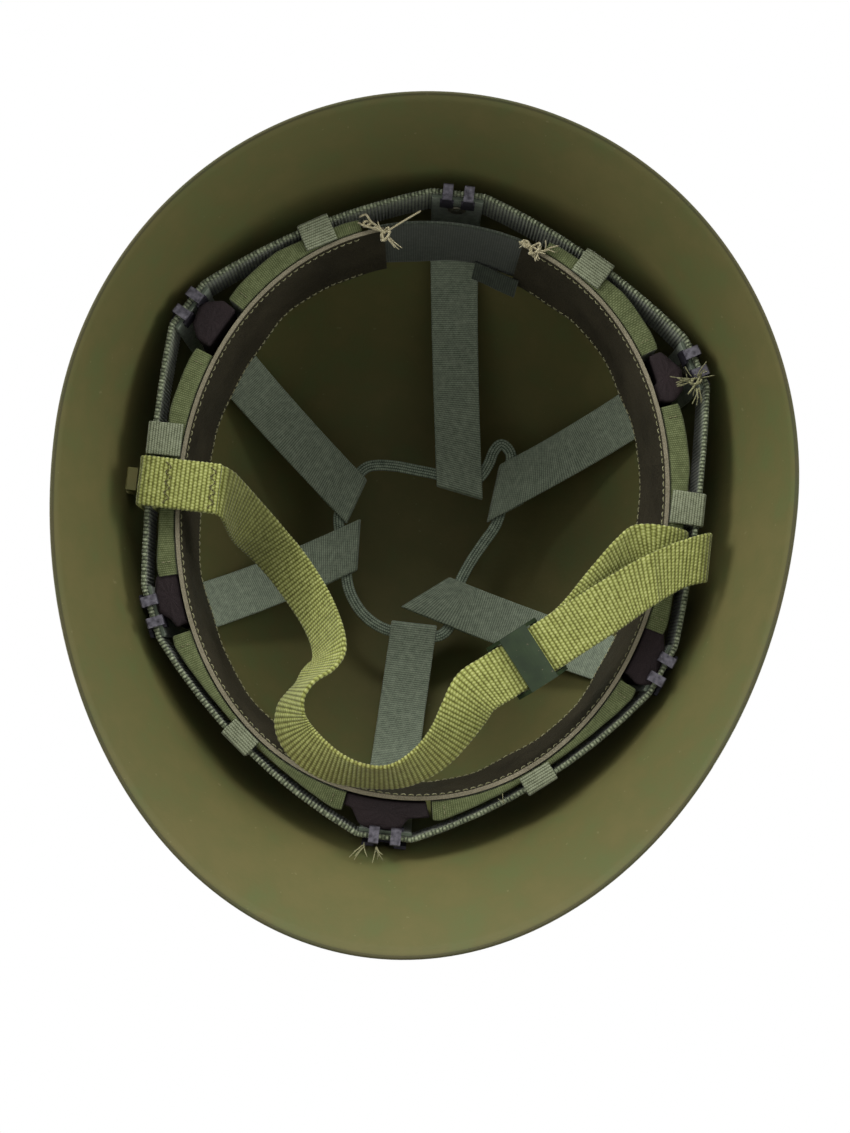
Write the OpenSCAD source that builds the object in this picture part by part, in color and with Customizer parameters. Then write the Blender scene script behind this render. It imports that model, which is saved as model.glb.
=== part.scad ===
/* [Shell] */
// Length of the rim, front to rear
rim_len = 292; // [286:1:300]
// Width of the rim, side to side
rim_wid = 250; // [246:1:256]
// How far behind the middle the rim is widest
rim_wide_at = 15.6; // [8:0.2:22]
// Height of the crown above the rim plane
crown_h = 165; // [162:1:175]
// How far behind the middle the crown is highest
crown_at = 8; // [4:0.5:12]
// Width of the dome, as if it ran straight down to the rim plane
dome_wid = 227.6; // [226:0.2:230]
// Reach of the dome behind the middle, at the rim plane
dome_rear = 132.2; // [131:0.2:134]
// Reach of the dome before the middle, at the rim plane
dome_front = 120.1; // [119:0.2:122]
// How far behind the middle the dome is widest
dome_wide_at = 25.5; // [23:0.5:27]
// Fullness of the dome's profile, where 2 is an ellipse
dome_full = 2.15; // [2.1:0.01:2.25]
// Height over which the brim flares out
flare_h = 52; // [46:1:56]
// Thickness of the pressed steel
steel_t = 1.4; // [1.1:0.1:1.8]

/* [Hooks] */
// Width of a hook's back plate
hook_w = 16; // [14:0.5:18]
// Thickness of a hook's sheet steel
hook_t = 1.2; // [1:0.1:1.4]
// Height of the plate's lower edge above the rim plane
plate_z = 46; // [45:0.25:48]
// Width of a prong
prong_w = 3.6; // [3:0.2:4]
// Width of a prong's tip, on the inside of the band
tip_w = 5; // [4.4:0.2:5.4]
// Distance between the two prongs, middle to middle
prong_pitch = 7.7; // [7:0.1:8.5]
// Height of a prong's leg above the band's lower edge
prong_rise = 8.5; // [7:0.5:9]

/* [Support band] */
// Height of the band's lower edge above the rim plane
band_z = 34; // [33.5:0.25:35]
// Width of the band's webbing
band_w = 20; // [19.5:0.25:21]
// Thickness of the band's webbing
band_t = 2; // [1.8:0.1:2.2]
// How far the band bows out between its front hooks
bow_front = 6; // [5:0.25:6.5]
// How far the band bows out along each side
bow_side = 2; // [1.5:0.25:3]
// How far the band bows out between its rear hooks
bow_rear = 4; // [3:0.25:4.5]

/* [Crown straps] */
// Width of a crown strap
strap_w = 19; // [17:0.5:20]
// Thickness of a crown strap
strap_t = 1.2; // [1:0.1:1.4]
// How far the drawcord hangs below the crown
cord_drop = 38; // [35:0.5:41]
// Width of the drawcord's flat braid
cord_w = 4.6; // [4:0.2:5]
// Thickness of the drawcord's flat braid
cord_t = 2.2; // [1.8:0.1:2.4]
// Length of the pocket that each strap makes round the drawcord
pocket_len = 17; // [15:0.5:19]
// Outer diameter of an eyelet's rolled head
eyelet_d = 7; // [6:0.25:8]
// Bore of an eyelet
eyelet_bore = 3; // [2.6:0.1:3.4]

/* [Sweatband] */
// Width of the head opening
head_wid = 172; // [168:0.5:173]
// Reach of the head opening before the middle
head_front = 95; // [92:0.25:95.5]
// Reach of the head opening behind the middle
head_rear = 108.5; // [105:0.25:110]
// How far behind the middle the head opening is widest
head_wide_at = 10; // [6:0.5:14]
// Fullness of the head opening, where 2 is an ellipse
head_full = 2.1; // [2.05:0.01:2.15]
// Height of the leather
leather_h = 40; // [36:1:44]
// Thickness of the leather
leather_t = 1.5; // [1.2:0.1:1.8]
// How far the leather leans in at its upper edge
leather_lean = 3; // [2:0.25:4]
// Width of the gap at the rear of the leather
rear_gap = 50; // [46:1:52]
// Height of the canvas sleeves
sleeve_h = 34; // [30:1:36]
// Thickness of the canvas sleeves, where the band leaves room for it
sleeve_t = 8; // [6:0.5:9]
// Height of the rear tape
tape_h = 36; // [32:1:38]
// Thickness of the rear tape
tape_t = 1.2; // [1:0.1:1.5]
// How far the rear tape runs behind each end of the leather
tape_lap = 5; // [4:0.5:5.5]
// Height of the spacer pads
pad_h = 26; // [22:1:30]
// Length of a spacer pad at a side hook
pad_len = 21; // [18:0.5:24]
// Length of the front spacer pad
front_pad_len = 32; // [28:0.5:36]
// Length of a keeper along the band
keeper_len = 12; // [10:0.5:13]
// Thickness of a keeper's webbing
keeper_t = 1; // [0.8:0.1:1.2]

/* [Chin strap] */
// Width of the chin strap
chin_w = 18; // [17:0.25:19]
// Thickness of the chin strap
chin_t = 1.8; // [1.5:0.1:2]
// Height of the swing axis above the rim plane
swing_z = 29; // [28.5:0.25:29.5]
// Where the left anchor ends and the swinging strap begins
left_split = 71.4; // [70:0.2:73]
// Where the right anchor ends and the swinging strap begins
right_split = 79; // [78:0.2:80]
// Length of the slide buckle along the strap
buckle_len = 20; // [18:0.5:22]
// Length of the buckle's middle plate along the strap
buckle_plate = 10.5; // [9:0.5:12]
// Thickness of the buckle's steel
buckle_t = 1.5; // [1.2:0.1:1.8]

/* [Clearances] */
// Clearance between pieces that lie side by side
clear = 0.3; // [0.2:0.05:0.4]
// Clearance between layers that are riveted together
seam = 0.1; // [0.05:0.05:0.15]

/* [Hidden] */

// Facets round the shell and up it
shell_steps = 72;
shell_rings = 18;

// Stations of the six hooks, as parameter angles round the dome, from the front
FRONT = 0;
FRONT_LEFT = 1;
REAR_LEFT = 2;
REAR = 3;
REAR_RIGHT = 4;
FRONT_RIGHT = 5;
hook_at = [-90, -29, 28, 90, 152, 209];
plate_top = band_z + band_w;
cord_z = crown_h - cord_drop;
bows = [bow_front, bow_side, bow_rear, bow_rear, bow_side, bow_front];

// Small helpers
function unit(v) = v / norm(v);
function flat(v) = [v[0], v[1]];
function deg_of(v) = atan2(v[1], v[0]);
function turned(v) = [-v[1], v[0]];
function mix(a, b, k) = a * (1 - k) + b * k;
function signed_pow(x, e) = sign(x) * pow(abs(x), e);

// Egg-shaped section: one half ellipse to the rear and a longer one to the front
function egg(half_wid, front, rear, wide_at, t) =
    [half_wid * cos(t), wide_at + (sin(t) >= 0 ? rear - wide_at : front + wide_at) * sin(t)];

// Outer skin of the shell, at angle t round it and angle phi up it
function skin_z(phi) = crown_h * pow(sin(phi), 2 / dome_full);
function skin(t, phi) =
    let(r = pow(cos(phi), 2 / dome_full),
        z = skin_z(phi),
        w = z < flare_h ? pow(1 - z / flare_h, 2) : 0,
        dome = egg(dome_wid / 2 * r,
                   (dome_front + crown_at) * r - crown_at,
                   crown_at + (dome_rear - crown_at) * r,
                   crown_at + (dome_wide_at - crown_at) * r, t),
        rim = egg(rim_wid / 2, rim_len / 2, rim_len / 2, rim_wide_at, t),
        p = mix(dome, rim, w))
    [p[0], p[1], z];
function skin_out(t, phi) =
    let(h = 0.4, low = max(phi - h, 0))
    unit(cross(skin(t + 1, phi) - skin(t - 1, phi), skin(t, low + 2 * h) - skin(t, low)));

// Inner face of the shell: the skin moved in by the steel, and cut level at the rim
function inner(t, phi) =
    let(p = skin(t, phi), n = skin_out(t, phi), level = norm(flat(n)))
    phi > 0 ? p - steel_t * n
            : [p[0] - steel_t * n[0] / pow(level, 2), p[1] - steel_t * n[1] / pow(level, 2), 0];
function phi_at(z) = asin(pow(z / crown_h, dome_full / 2));
function wall(t, z) = flat(inner(t, phi_at(z)));

// Each hook stands square to the wall, and the band's middle line passes inside its plate.
// A flat plate's edges reach a little further into the round wall than its middle does.
plate_gap = clear + 0.5;
function hook_out(i) = unit(flat(skin_out(hook_at[i], phi_at(plate_top))));
function hook_mid(i) =
    wall(hook_at[i], plate_top) - hook_out(i) * (plate_gap + hook_t + clear + band_t / 2);
function hook_side(i) = turned(hook_out(i));
// Outer face of a hook's sheet, measured outwards from the band's middle line
function hook_face(i, z) = (wall(hook_at[i], z) - hook_mid(i)) * hook_out(i) - plate_gap;

// Middle line of the support band: a flat at each hook and a bowed span between hooks
band_steps = 8;
function span_point(i, k) =
    let(j = (i + 1) % 6,
        a = hook_mid(i) + hook_side(i) * (strap_w / 2 + seam),
        b = hook_mid(j) - hook_side(j) * (strap_w / 2 + seam),
        out = -turned(unit(b - a)))
    mix(a, b, k) + out * bows[i] * 4 * k * (1 - k);
band_line = [for (i = [0:5]) for (s = [0:band_steps]) span_point(i, s / band_steps)];
function side_out(i) = -turned(unit(span_point(i, 0.52) - span_point(i, 0.48)));

// A closed line moved outwards along its mitred corners
function moved_out(line, d) =
    let(n = len(line))
    [for (i = [0:n - 1])
        let(a = -turned(unit(line[i] - line[(i + n - 1) % n])),
            b = -turned(unit(line[(i + 1) % n] - line[i])))
        line[i] + d * (a + b) / (1 + a * b)];

// Head opening at the leather's lower edge, moved out by d
function head(t, d) =
    let(rx = head_wid / 2,
        ry = sin(t) >= 0 ? head_rear - head_wide_at : head_front + head_wide_at,
        p = [rx * signed_pow(cos(t), 2 / head_full),
             head_wide_at + ry * signed_pow(sin(t), 2 / head_full)],
        out = unit([signed_pow(cos(t), 2 - 2 / head_full) / rx,
                    signed_pow(sin(t), 2 - 2 / head_full) / ry]))
    p + d * out;
leather_z = band_z;
function lean(z) = -leather_lean * (z - leather_z) / leather_h;
function head_at(t, d, z) = let(p = head(t, d + lean(z))) [p[0], p[1], z];
gap_t = acos(pow(rear_gap / head_wid, head_full / 2));
lap_t = acos(pow((rear_gap + 2 * tape_lap) / head_wid, head_full / 2));

// Layers on the inner side of the band, measured inwards from its middle line
root_in = band_t / 2 + seam;
leg_in = root_in + strap_t + seam;
pad_face = leg_in + hook_t + clear;
// The chin strap's loops hold the band with a little room for its bow
loop_in = band_t / 2 + clear + 0.3;
loop_face = loop_in + chin_t + 2 * clear;

// Solid swept through a list of stations, each a list of corners that turn
// anticlockwise as seen by someone ahead of the sweep
module sweep(stations, closed = false) {
    n = len(stations[0]);
    m = len(stations);
    rows = closed ? m : m - 1;
    sides = [for (i = [0:rows - 1]) for (j = [0:n - 1])
                let(a = i * n + j,
                    b = i * n + (j + 1) % n,
                    c = ((i + 1) % m) * n + (j + 1) % n,
                    d = ((i + 1) % m) * n + j)
                each [[a, d, c], [a, c, b]]];
    start = [for (j = [1:n - 2]) [0, j, j + 1]];
    finish = [for (j = [1:n - 2]) [(m - 1) * n, (m - 1) * n + j + 1, (m - 1) * n + j]];
    polyhedron(points = [for (s = stations) each s],
               faces = closed ? sides : concat(sides, start, finish));
}
// Corners of a strip of webbing: across is its full width, up its unit normal
function strip(p, across, up, thick) =
    [p - across / 2 - up * thick / 2, p + across / 2 - up * thick / 2,
     p + across / 2 + up * thick / 2, p - across / 2 + up * thick / 2];

// A closed or open smooth curve through chosen points
function curve_at(pts, i, k, closed) =
    let(n = len(pts),
        a = closed ? pts[(i + n - 1) % n] : pts[max(i - 1, 0)],
        b = pts[i % n],
        c = closed ? pts[(i + 1) % n] : pts[min(i + 1, n - 1)],
        d = closed ? pts[(i + 2) % n] : pts[min(i + 2, n - 1)])
    0.5 * (2 * b + (c - a) * k + (2 * a - 5 * b + 4 * c - d) * k * k
           + (3 * b - a - 3 * c + d) * k * k * k);
function smooth(pts, steps, closed = false) =
    let(n = len(pts), spans = closed ? n : n - 1)
    concat([for (i = [0:spans - 1]) for (s = [0:steps - 1]) curve_at(pts, i, s / steps, closed)],
           closed ? [] : [pts[n - 1]]);

// Moves a shape drawn at a hook to its place, with +X outwards
module at_hook(i) {
    translate([hook_mid(i)[0], hook_mid(i)[1], 0])
        rotate([0, 0, deg_of(hook_out(i))])
            children();
}
// Extrudes a profile drawn as outwards by upwards, centred on the hook or span
module across(width) {
    rotate([90, 0, 0])
        linear_extrude(height = width, center = true)
            children();
}

// Pressed steel shell with its flared brim
module shell() {
    phis = [for (i = [0:shell_rings - 1]) 90 * pow(i / shell_rings, 1.5)];
    ts = [for (j = [0:shell_steps - 1]) 360 * j / shell_steps];
    n = shell_steps;
    m = shell_rings;
    outer_pts = [for (phi = phis) for (t = ts) skin(t, phi)];
    inner_pts = [for (phi = phis) for (t = ts) inner(t, phi)];
    top = [[0, crown_at, crown_h], [0, crown_at, crown_h - steel_t]];
    base = n * m;
    peak = 2 * base;
    skins = [for (i = [0:m - 2]) for (j = [0:n - 1])
                let(a = i * n + j,
                    b = i * n + (j + 1) % n,
                    c = b + n,
                    d = a + n)
                each [[a, d, c], [a, c, b],
                      [base + a, base + c, base + d], [base + a, base + b, base + c]]];
    rim = [for (j = [0:n - 1])
              let(k = (j + 1) % n)
              each [[j, k, base + k], [j, base + k, base + j]]];
    cap = [for (j = [0:n - 1])
              let(a = (m - 1) * n + j, b = (m - 1) * n + (j + 1) % n)
              each [[a, peak, b], [base + a, base + b, peak + 1]]];
    color("#5c5a34")
        polyhedron(points = concat(outer_pts, inner_pts, top), faces = concat(skins, rim, cap));
}

// Steel hook: a plate against the wall and two prongs bent under and up the band
module hook(i) {
    low = band_z - clear - hook_t;
    leg_top = band_z + prong_rise;
    zs = [for (k = [0:4]) mix(plate_z, plate_top, k / 4)];
    leg_out = leg_in + hook_t;
    bevel = hook_t * 0.4;
    out = band_t / 2 + clear + hook_t;
    color("#46424e")
        at_hook(i)
            difference() {
                union() {
                    across(hook_w)
                        polygon(concat([for (z = zs) [hook_face(i, z), z]],
                                       [for (k = [4:-1:0]) [hook_face(i, zs[k]) - hook_t, zs[k]]]));
                    for (s = [-1, 1])
                        translate([0, s * prong_pitch / 2, 0]) {
                            across(prong_w)
                                polygon([[-leg_out + bevel, low],
                                         [out - bevel, low],
                                         [out, low + bevel],
                                         [out, plate_top],
                                         [out - hook_t, plate_top],
                                         [out - hook_t, low + hook_t],
                                         [-leg_in, low + hook_t],
                                         [-leg_in, leg_top],
                                         [-leg_out, leg_top],
                                         [-leg_out, low + bevel]]);
                            translate([-leg_out, -tip_w / 2, band_z + 2])
                                cube([hook_t, tip_w, leg_top - band_z - 2]);
                        }
                }
                translate([0, 0, eyelet_z])
                    rotate([0, 90, 0])
                        cylinder(d = eyelet_d + 2 * clear, h = 12, $fn = 40);
            }
}

// Rolled eyelets that clench each crown strap to the band
eyelet_z = band_z + 13;
module strap_eyelets() {
    shank_r = eyelet_bore / 2 + 0.5;
    head_t = 0.9;
    tail = band_t / 2 + seam;
    color("#5a584e")
        for (i = [0:5])
            at_hook(i)
                translate([0, 0, eyelet_z])
                    rotate([0, -90, 0])
                        rotate_extrude($fn = 32)
                            polygon([[eyelet_bore / 2, -tail - 0.6],
                                     [eyelet_d * 0.4, -tail - 0.6],
                                     [eyelet_d * 0.4, -tail],
                                     [shank_r, -tail],
                                     [shank_r, leg_in],
                                     [eyelet_d / 2, leg_in],
                                     [eyelet_d / 2 - 0.3, leg_in + head_t * 0.7],
                                     [eyelet_d / 2 - 1, leg_in + head_t],
                                     [eyelet_bore / 2, leg_in + head_t * 0.5]]);
}
// Hole for an eyelet through the webbing
module eyelet_hole(i) {
    at_hook(i)
        translate([-8, 0, eyelet_z])
            rotate([0, 90, 0])
                cylinder(r = eyelet_bore / 2 + 0.5 + seam, h = 16, $fn = 16);
}

// Six-sided webbing band that hangs in the hooks
module support_band() {
    n = len(band_line);
    color("#5f6650")
        difference() {
            translate([0, 0, band_z])
                linear_extrude(height = band_w)
                    polygon(concat(moved_out(band_line, band_t / 2),
                                   moved_out(band_line, -band_t / 2)),
                            [[for (i = [0:n - 1]) i], [for (i = [0:n - 1]) n + i]]);
            for (i = [0:5])
                eyelet_hole(i);
        }
}

// Small welded lug on the left wall, with a bent tab outside the chin strap's loop
lug_y = 5;
module side_lug_left() {
    t = asin((lug_y - dome_wide_at) / (dome_front + dome_wide_at));
    top = plate_top;
    low = band_z;
    foot = span_at_y(FRONT_LEFT, lug_y) + loop_face + clear;
    leg = foot + 2.6;
    zs = [for (k = [0:4]) mix(top - 8, top, k / 4)];
    y = wall(t, top)[1];
    color("#5c5a34")
        translate([0, y, 0])
            across(8)
                polygon(concat([for (z = zs) [wall(t, z)[0] - plate_gap, z]],
                               [[wall(t, top)[0] - plate_gap - hook_t, top],
                                [leg + hook_t * 0.6, top - 6],
                                [leg, top - 6 - hook_t],
                                [leg, low + hook_t],
                                [foot, low + hook_t],
                                [foot, low],
                                [leg + hook_t * 0.6, low],
                                [leg + hook_t, low + hook_t * 0.4],
                                [leg + hook_t, top - 6 - hook_t],
                                [wall(t, zs[0])[0] - plate_gap - hook_t, zs[0]]]));
}

// Where each crown strap meets the drawcord, and the way the cord runs there
ring_mid = [[-2, -34.4], [28.4, -3], [30.8, 20], [-14, 30], [-33, 30], [-16.8, -20.2]];
ring_way = [180, -93, -72, 10, 96, 100];
// How far each strap's fold hangs loose past the drawcord, and the way its edge runs
loose = [0, 0, 0, 0, 0, 8];
tip_way = [180, -93, -72, 10, 96, 142];
arch_z = band_z + band_w - 3;
// Drawcord's route, as chosen points joined smoothly
cord_route = [[28.4, -12], [26, -20], [20.4, -27.8], [12.5, -33], [3, -35], [-9, -35], [-14.4, -33.2],
              [-17.2, -28], [-17.4, -20], [-19, -11], [-22.6, -2], [-26.8, 6], [-30.8, 13.4],
              [-32.6, 21], [-33.4, 30], [-34.4, 41], [-33.4, 45.5], [-29.8, 48], [-27, 45],
              [-25.2, 38.8], [-22, 33], [-17, 30.6], [-12, 30.8], [-4, 32.4], [5, 33.2],
              [13, 33.8], [20.5, 33.4], [25.4, 31.6], [28.7, 27.2], [30.5, 22.4], [32.8, 16],
              [34, 10.4], [33, 4.4], [30.8, -0.6], [29.2, -5]];

// Crown strap: upright on the band, arched to the crown, folded round the drawcord
module crown_strap(i) {
    low_z = cord_z - cord_t / 2 - clear - strap_t / 2;
    high_z = cord_z + cord_t / 2 + clear + strap_t / 2;
    root = hook_mid(i) - hook_out(i) * (root_in + strap_t / 2);
    way = [cos(ring_way[i]), sin(ring_way[i])];
    dir = unit(ring_mid[i] - root);
    side = dir * hook_out(i) < 0 ? turned(-dir) : turned(dir);
    slant = way / (way * side) * strap_w;
    tip = [cos(tip_way[i]), sin(tip_way[i])];
    tip_slant = tip / (tip * side) * strap_w;
    grip = (cord_w / 2 + clear + strap_t) / abs(dir * turned(way));
    tip_in = grip + loose[i];
    bend = (high_z - low_z) / 2;
    base = [for (z = [band_z + 2, band_z + 9, arch_z])
               strip([root[0], root[1], z], hook3(hook_side(i)) * strap_w,
                     hook3(-hook_out(i)), strap_t)];
    arch = [for (k = [1:10])
               let(s = k * 8.5,
                   p = ring_mid[i] + (root - ring_mid[i]) * cos(s),
                   z = arch_z + (low_z - arch_z) * sin(s),
                   fwd = unit([dir[0] * norm(root - ring_mid[i]) * sin(s),
                               dir[1] * norm(root - ring_mid[i]) * sin(s),
                               (low_z - arch_z) * cos(s)]),
                   blend = min(1, k / 4),
                   a = mix(hook3(hook_side(i)) * strap_w, hook3(side) * strap_w, blend),
                   wide = k < 8 ? a : mix(a, hook3(slant), (k - 7) / 3),
                   up = unit(cross(fwd, hook3(side))))
               strip([p[0], p[1], z], wide, up, strap_t)];
    fold = [for (a = [0:45:180])
               let(p = ring_mid[i] + dir * (tip_in - bend / 2 + bend * sin(a) / 2),
                   turn = [dir[0] * sin(a), dir[1] * sin(a), -cos(a)])
               strip([p[0], p[1], cord_z - bend * cos(a)], hook3(tip_slant),
                     turn, strap_t)];
    back = ring_mid[i] + dir * (grip - pocket_len);
    flap = [strip([back[0], back[1], high_z], hook3(slant), [0, 0, 1], strap_t)];
    seam_len = 3;
    color("#4d5f52")
        difference() {
            union() {
                sweep(concat(base, arch, fold, flap));
                sweep([for (k = [0, 1])
                          let(p = back + dir * seam_len * k,
                              mid = (low_z + high_z) / 2 - 1)
                          strip([p[0], p[1], mid], hook3(slant) * 0.96, [0, 0, -1],
                                high_z - low_z + 1.2)]);
            }
            eyelet_hole(i);
        }
}
function hook3(v) = [v[0], v[1], 0];

// Flat braided drawcord through the six pockets
module crown_drawcord() {
    line = smooth(cord_route, 2, closed = true);
    n = len(line);
    color("#4d5f52")
        sweep([for (i = [0:n - 1])
                  let(fwd = unit(line[(i + 1) % n] - line[(i + n - 1) % n]),
                      out = turned(fwd))
                  [for (a = [0:45:315])
                      [line[i][0] + out[0] * cord_w / 2 * cos(a),
                       line[i][1] + out[1] * cord_w / 2 * cos(a),
                       cord_z + cord_t / 2 * sin(a)]]],
              closed = true);
}

// Leather sweatband, open at the rear
module sweatband() {
    steps = 64;
    top = leather_z + leather_h;
    color("#2a221c")
        sweep([for (k = [0:steps])
                  let(t = mix(180 - gap_t, 360 + gap_t, k / steps))
                  [head_at(t, leather_t, leather_z), head_at(t, 0, leather_z),
                   head_at(t, 0, top), head_at(t, leather_t, top)]]);
}

// Canvas sleeve sewn to the outside of the leather, from angle a to angle b, as far out
// as the given face inside the band
keeper_face = band_t / 2 + keeper_t + 2 * clear;
module sleeve(a, b, face = keeper_face) {
    steps = ceil((b - a) / 5);
    foot = leather_t + clear;
    ts = [for (k = [0:steps]) mix(a, b, k / steps)];
    color("#5f6a3f")
        translate([0, 0, leather_z + clear])
            linear_extrude(height = sleeve_h)
                difference() {
                    intersection() {
                        polygon(concat([for (t = ts) head(t, foot + sleeve_t)],
                                       [for (k = [steps:-1:0]) head(ts[k], foot)]));
                        polygon(moved_out(band_line, -face));
                    }
                    for (i = [FRONT, FRONT_LEFT, REAR_LEFT, REAR_RIGHT, FRONT_RIGHT])
                        pad_outline(i, (i == FRONT ? front_pad_len : pad_len) + 2 * clear, 0);
                }
}

// Dark pad that fills the corner between the sweatband and a hook
module spacer_pad(i, length) {
    color("#2b2226")
        translate([0, 0, leather_z + 1.5])
            linear_extrude(height = pad_h)
                difference() {
                    intersection() {
                        polygon(moved_out(band_line, -pad_face));
                        pad_outline(i, length, 4);
                    }
                    polygon([for (k = [0:71]) head(k * 5, leather_t + 2 * clear)]);
                }
}
// Strip as wide as a pad, from the hook towards the middle, with bevelled corners
module pad_outline(i, length, bevel) {
    translate(hook_mid(i))
        rotate(deg_of(hook_out(i)))
            polygon([[-36, -length / 2], [-bevel, -length / 2], [0, bevel - length / 2],
                     [0, length / 2 - bevel], [-bevel, length / 2], [-36, length / 2]]);
}

// Webbing loop that ties the sweatband's sleeve to the band, near the middle of a span.
// Its tongue runs on below the sleeve, as far as the leather.
keeper_at = [0.54, 0.56, 0.5, 0.53, 0.475, 0.5];
function beyond_leather(p) =
    let(grow = leather_t + 2 * clear,
        ry = (p[1] > head_wide_at ? head_rear - head_wide_at : head_front + head_wide_at) + grow)
    pow(abs(p[0]) / (head_wid / 2 + grow), head_full)
    + pow(abs(p[1] - head_wide_at) / ry, head_full) > 1;
function tongue(i) =
    let(mid = span_point(i, keeper_at[i]), out = side_out(i))
    max([for (d = [band_t:0.25:band_t * 12]) if (beyond_leather(mid - out * d)) d]);
module keeper(i) {
    mid = span_point(i, keeper_at[i]);
    out = side_out(i);
    r = band_t / 2 + clear;
    z0 = band_z - clear;
    z1 = band_z + band_w + clear;
    reach = max(tongue(i), r + keeper_t + 0.1);
    color("#66705a")
        translate([mid[0], mid[1], 0])
            rotate([0, 0, deg_of(out)])
                across(keeper_len)
                    polygon([[r + keeper_t, z0 - keeper_t], [r + keeper_t, z1 + keeper_t],
                             [-r - keeper_t, z1 + keeper_t], [-r - keeper_t, z0],
                             [-reach, z0], [-reach, z0 - keeper_t],
                             [r, z0], [r, z1], [-r, z1], [-r, z0]],
                            [[0, 1, 2, 3, 4, 5], [6, 7, 8, 9]]);
}

// Tape that closes the gap at the rear of the leather
module rear_tape() {
    steps = 12;
    z0 = leather_z + 1;
    z1 = z0 + tape_h;
    off = leather_t + clear;
    color("#4d5f52")
        sweep([for (k = [0:steps])
                  let(t = mix(lap_t, 180 - lap_t, k / steps))
                  [head_at(t, off + tape_t, z0), head_at(t, off, z0),
                   head_at(t, off, z1), head_at(t, off + tape_t, z1)]]);
}

// Knotted lacing at each end of the leather, below its lower edge
module rear_lacing() {
    knot_r = 2.2;
    z = leather_z - clear - knot_r;
    color("#b7ae8c")
        for (s = [-1, 1]) {
            t = 90 - s * (90 - lap_t) * 0.86;
            p = head(t, leather_t / 2);
            translate([p[0], p[1], z])
                sphere(r = knot_r, $fn = 24);
            translate([p[0], p[1], z])
                rotate([0, 90, s < 0 ? 150 : 20])
                    cylinder(r = 0.6, h = 9, $fn = 16);
        }
}

// Legs of the chin strap's loops, inside and outside the band
loop_y = [4.5, 0.5];
side_x = [span_at_y(FRONT_LEFT, loop_y[0]), span_at_y(REAR_RIGHT, loop_y[1])];
function span_at_y(i, y) =
    lookup(y, [for (k = [0:20])
                  let(p = span_point(i, i == FRONT_LEFT ? k / 20 : 1 - k / 20))
                  [p[1], abs(p[0])]]);

// Left end of the chin strap: doubled, sewn and looped round the band
module chin_strap_anchor_left() {
    x = side_x[0];
    r0 = loop_in;
    r1 = r0 + chin_t;
    low = swing_z - chin_t;
    top = band_z + band_w + clear;
    color("#8a9040")
        translate([0, loop_y[0], 0])
            across(chin_w)
                difference() {
                    polygon([[left_split, low],
                             [x + r1 - 1.5, low],
                             [x + r1, low + 1.5],
                             [x + r1, top + chin_t - 1.5],
                             [x + r1 - 1.5, top + chin_t],
                             [x - r1 + 1.5, top + chin_t],
                             [x - r1, top + chin_t - 1.5],
                             [x - r1, band_z],
                             [x - r1 - 1.4, swing_z + chin_t],
                             [left_split, swing_z + chin_t]]);
                    polygon([[x - r0, band_z - clear],
                             [x - r0 + 1, swing_z + 1.6],
                             [x + r0 - 0.6, swing_z + 1.6],
                             [x + r0, swing_z + 2.4],
                             [x + r0, top],
                             [x - r0, top]]);
                }
}

// Right end of the chin strap: one turn round the band, with a strand on each side
module chin_strap_anchor_right() {
    x = -side_x[1];
    y = loop_y[1];
    legs = loop_in + chin_t / 2;
    top = band_z + band_w + 2 * clear + chin_t / 2;
    // Each station's place, and how far its width turns from the front-to-rear line
    line = [[-right_split, near_y, front_z, 0], [-88, -6, front_z + 1.6, 30],
            [-94, -3, front_z + 2.8, 14], [x - legs + 1.4, y - 0.6, front_z + 4.4, 6],
            [x - legs, y, front_z + 7, 0], [x - legs, y, top - 1, 0],
            [x - legs + 1, y, top, 0], [x + legs - 1, y, top, 0],
            [x + legs, y, top - 1, 0], [x + legs, y, band_z + 1.4, 0],
            [x + legs + 0.4, y, back_z + 0.7, 0], [x + legs + 2.6, y, back_z, 0],
            [-86, y + 0.7, back_z, 0], [-right_split, far_y, back_z, 0]];
    n = len(line);
    color("#8a9040")
        sweep([for (i = [0:n - 1])
                  let(a = line[max(i - 1, 0)],
                      b = line[min(i + 1, n - 1)],
                      fwd = unit([b[0] - a[0], 0, b[2] - a[2]]),
                      wide = i == 0 ? near_wide : i == n - 1 ? far_wide : chin_w,
                      turn = line[i][3])
                  strip([line[i][0], line[i][1], line[i][2]],
                        [sin(turn), cos(turn), 0] * wide, cross(fwd, [0, 1, 0]), chin_t)]);
}

// The two strands beside the right anchor, each cut square to the swing axis,
// and the buckle's stretch of strap
near_y = -12.8;
far_y = 1.4;
far_wide = chin_w * 1.2;
front_z = 23.5;
back_z = band_z - clear - 0.5 - chin_t / 2;
buckle_z = 21;
buckle_mid = [-42, -42.5];
buckle_turn = 141;
near_wide = chin_w / abs(cos(buckle_turn));
buckle_way = [cos(buckle_turn), sin(buckle_turn)];
function along_buckle(d, z) =
    [buckle_mid[0] + buckle_way[0] * d, buckle_mid[1] + buckle_way[1] * d, z];

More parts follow.
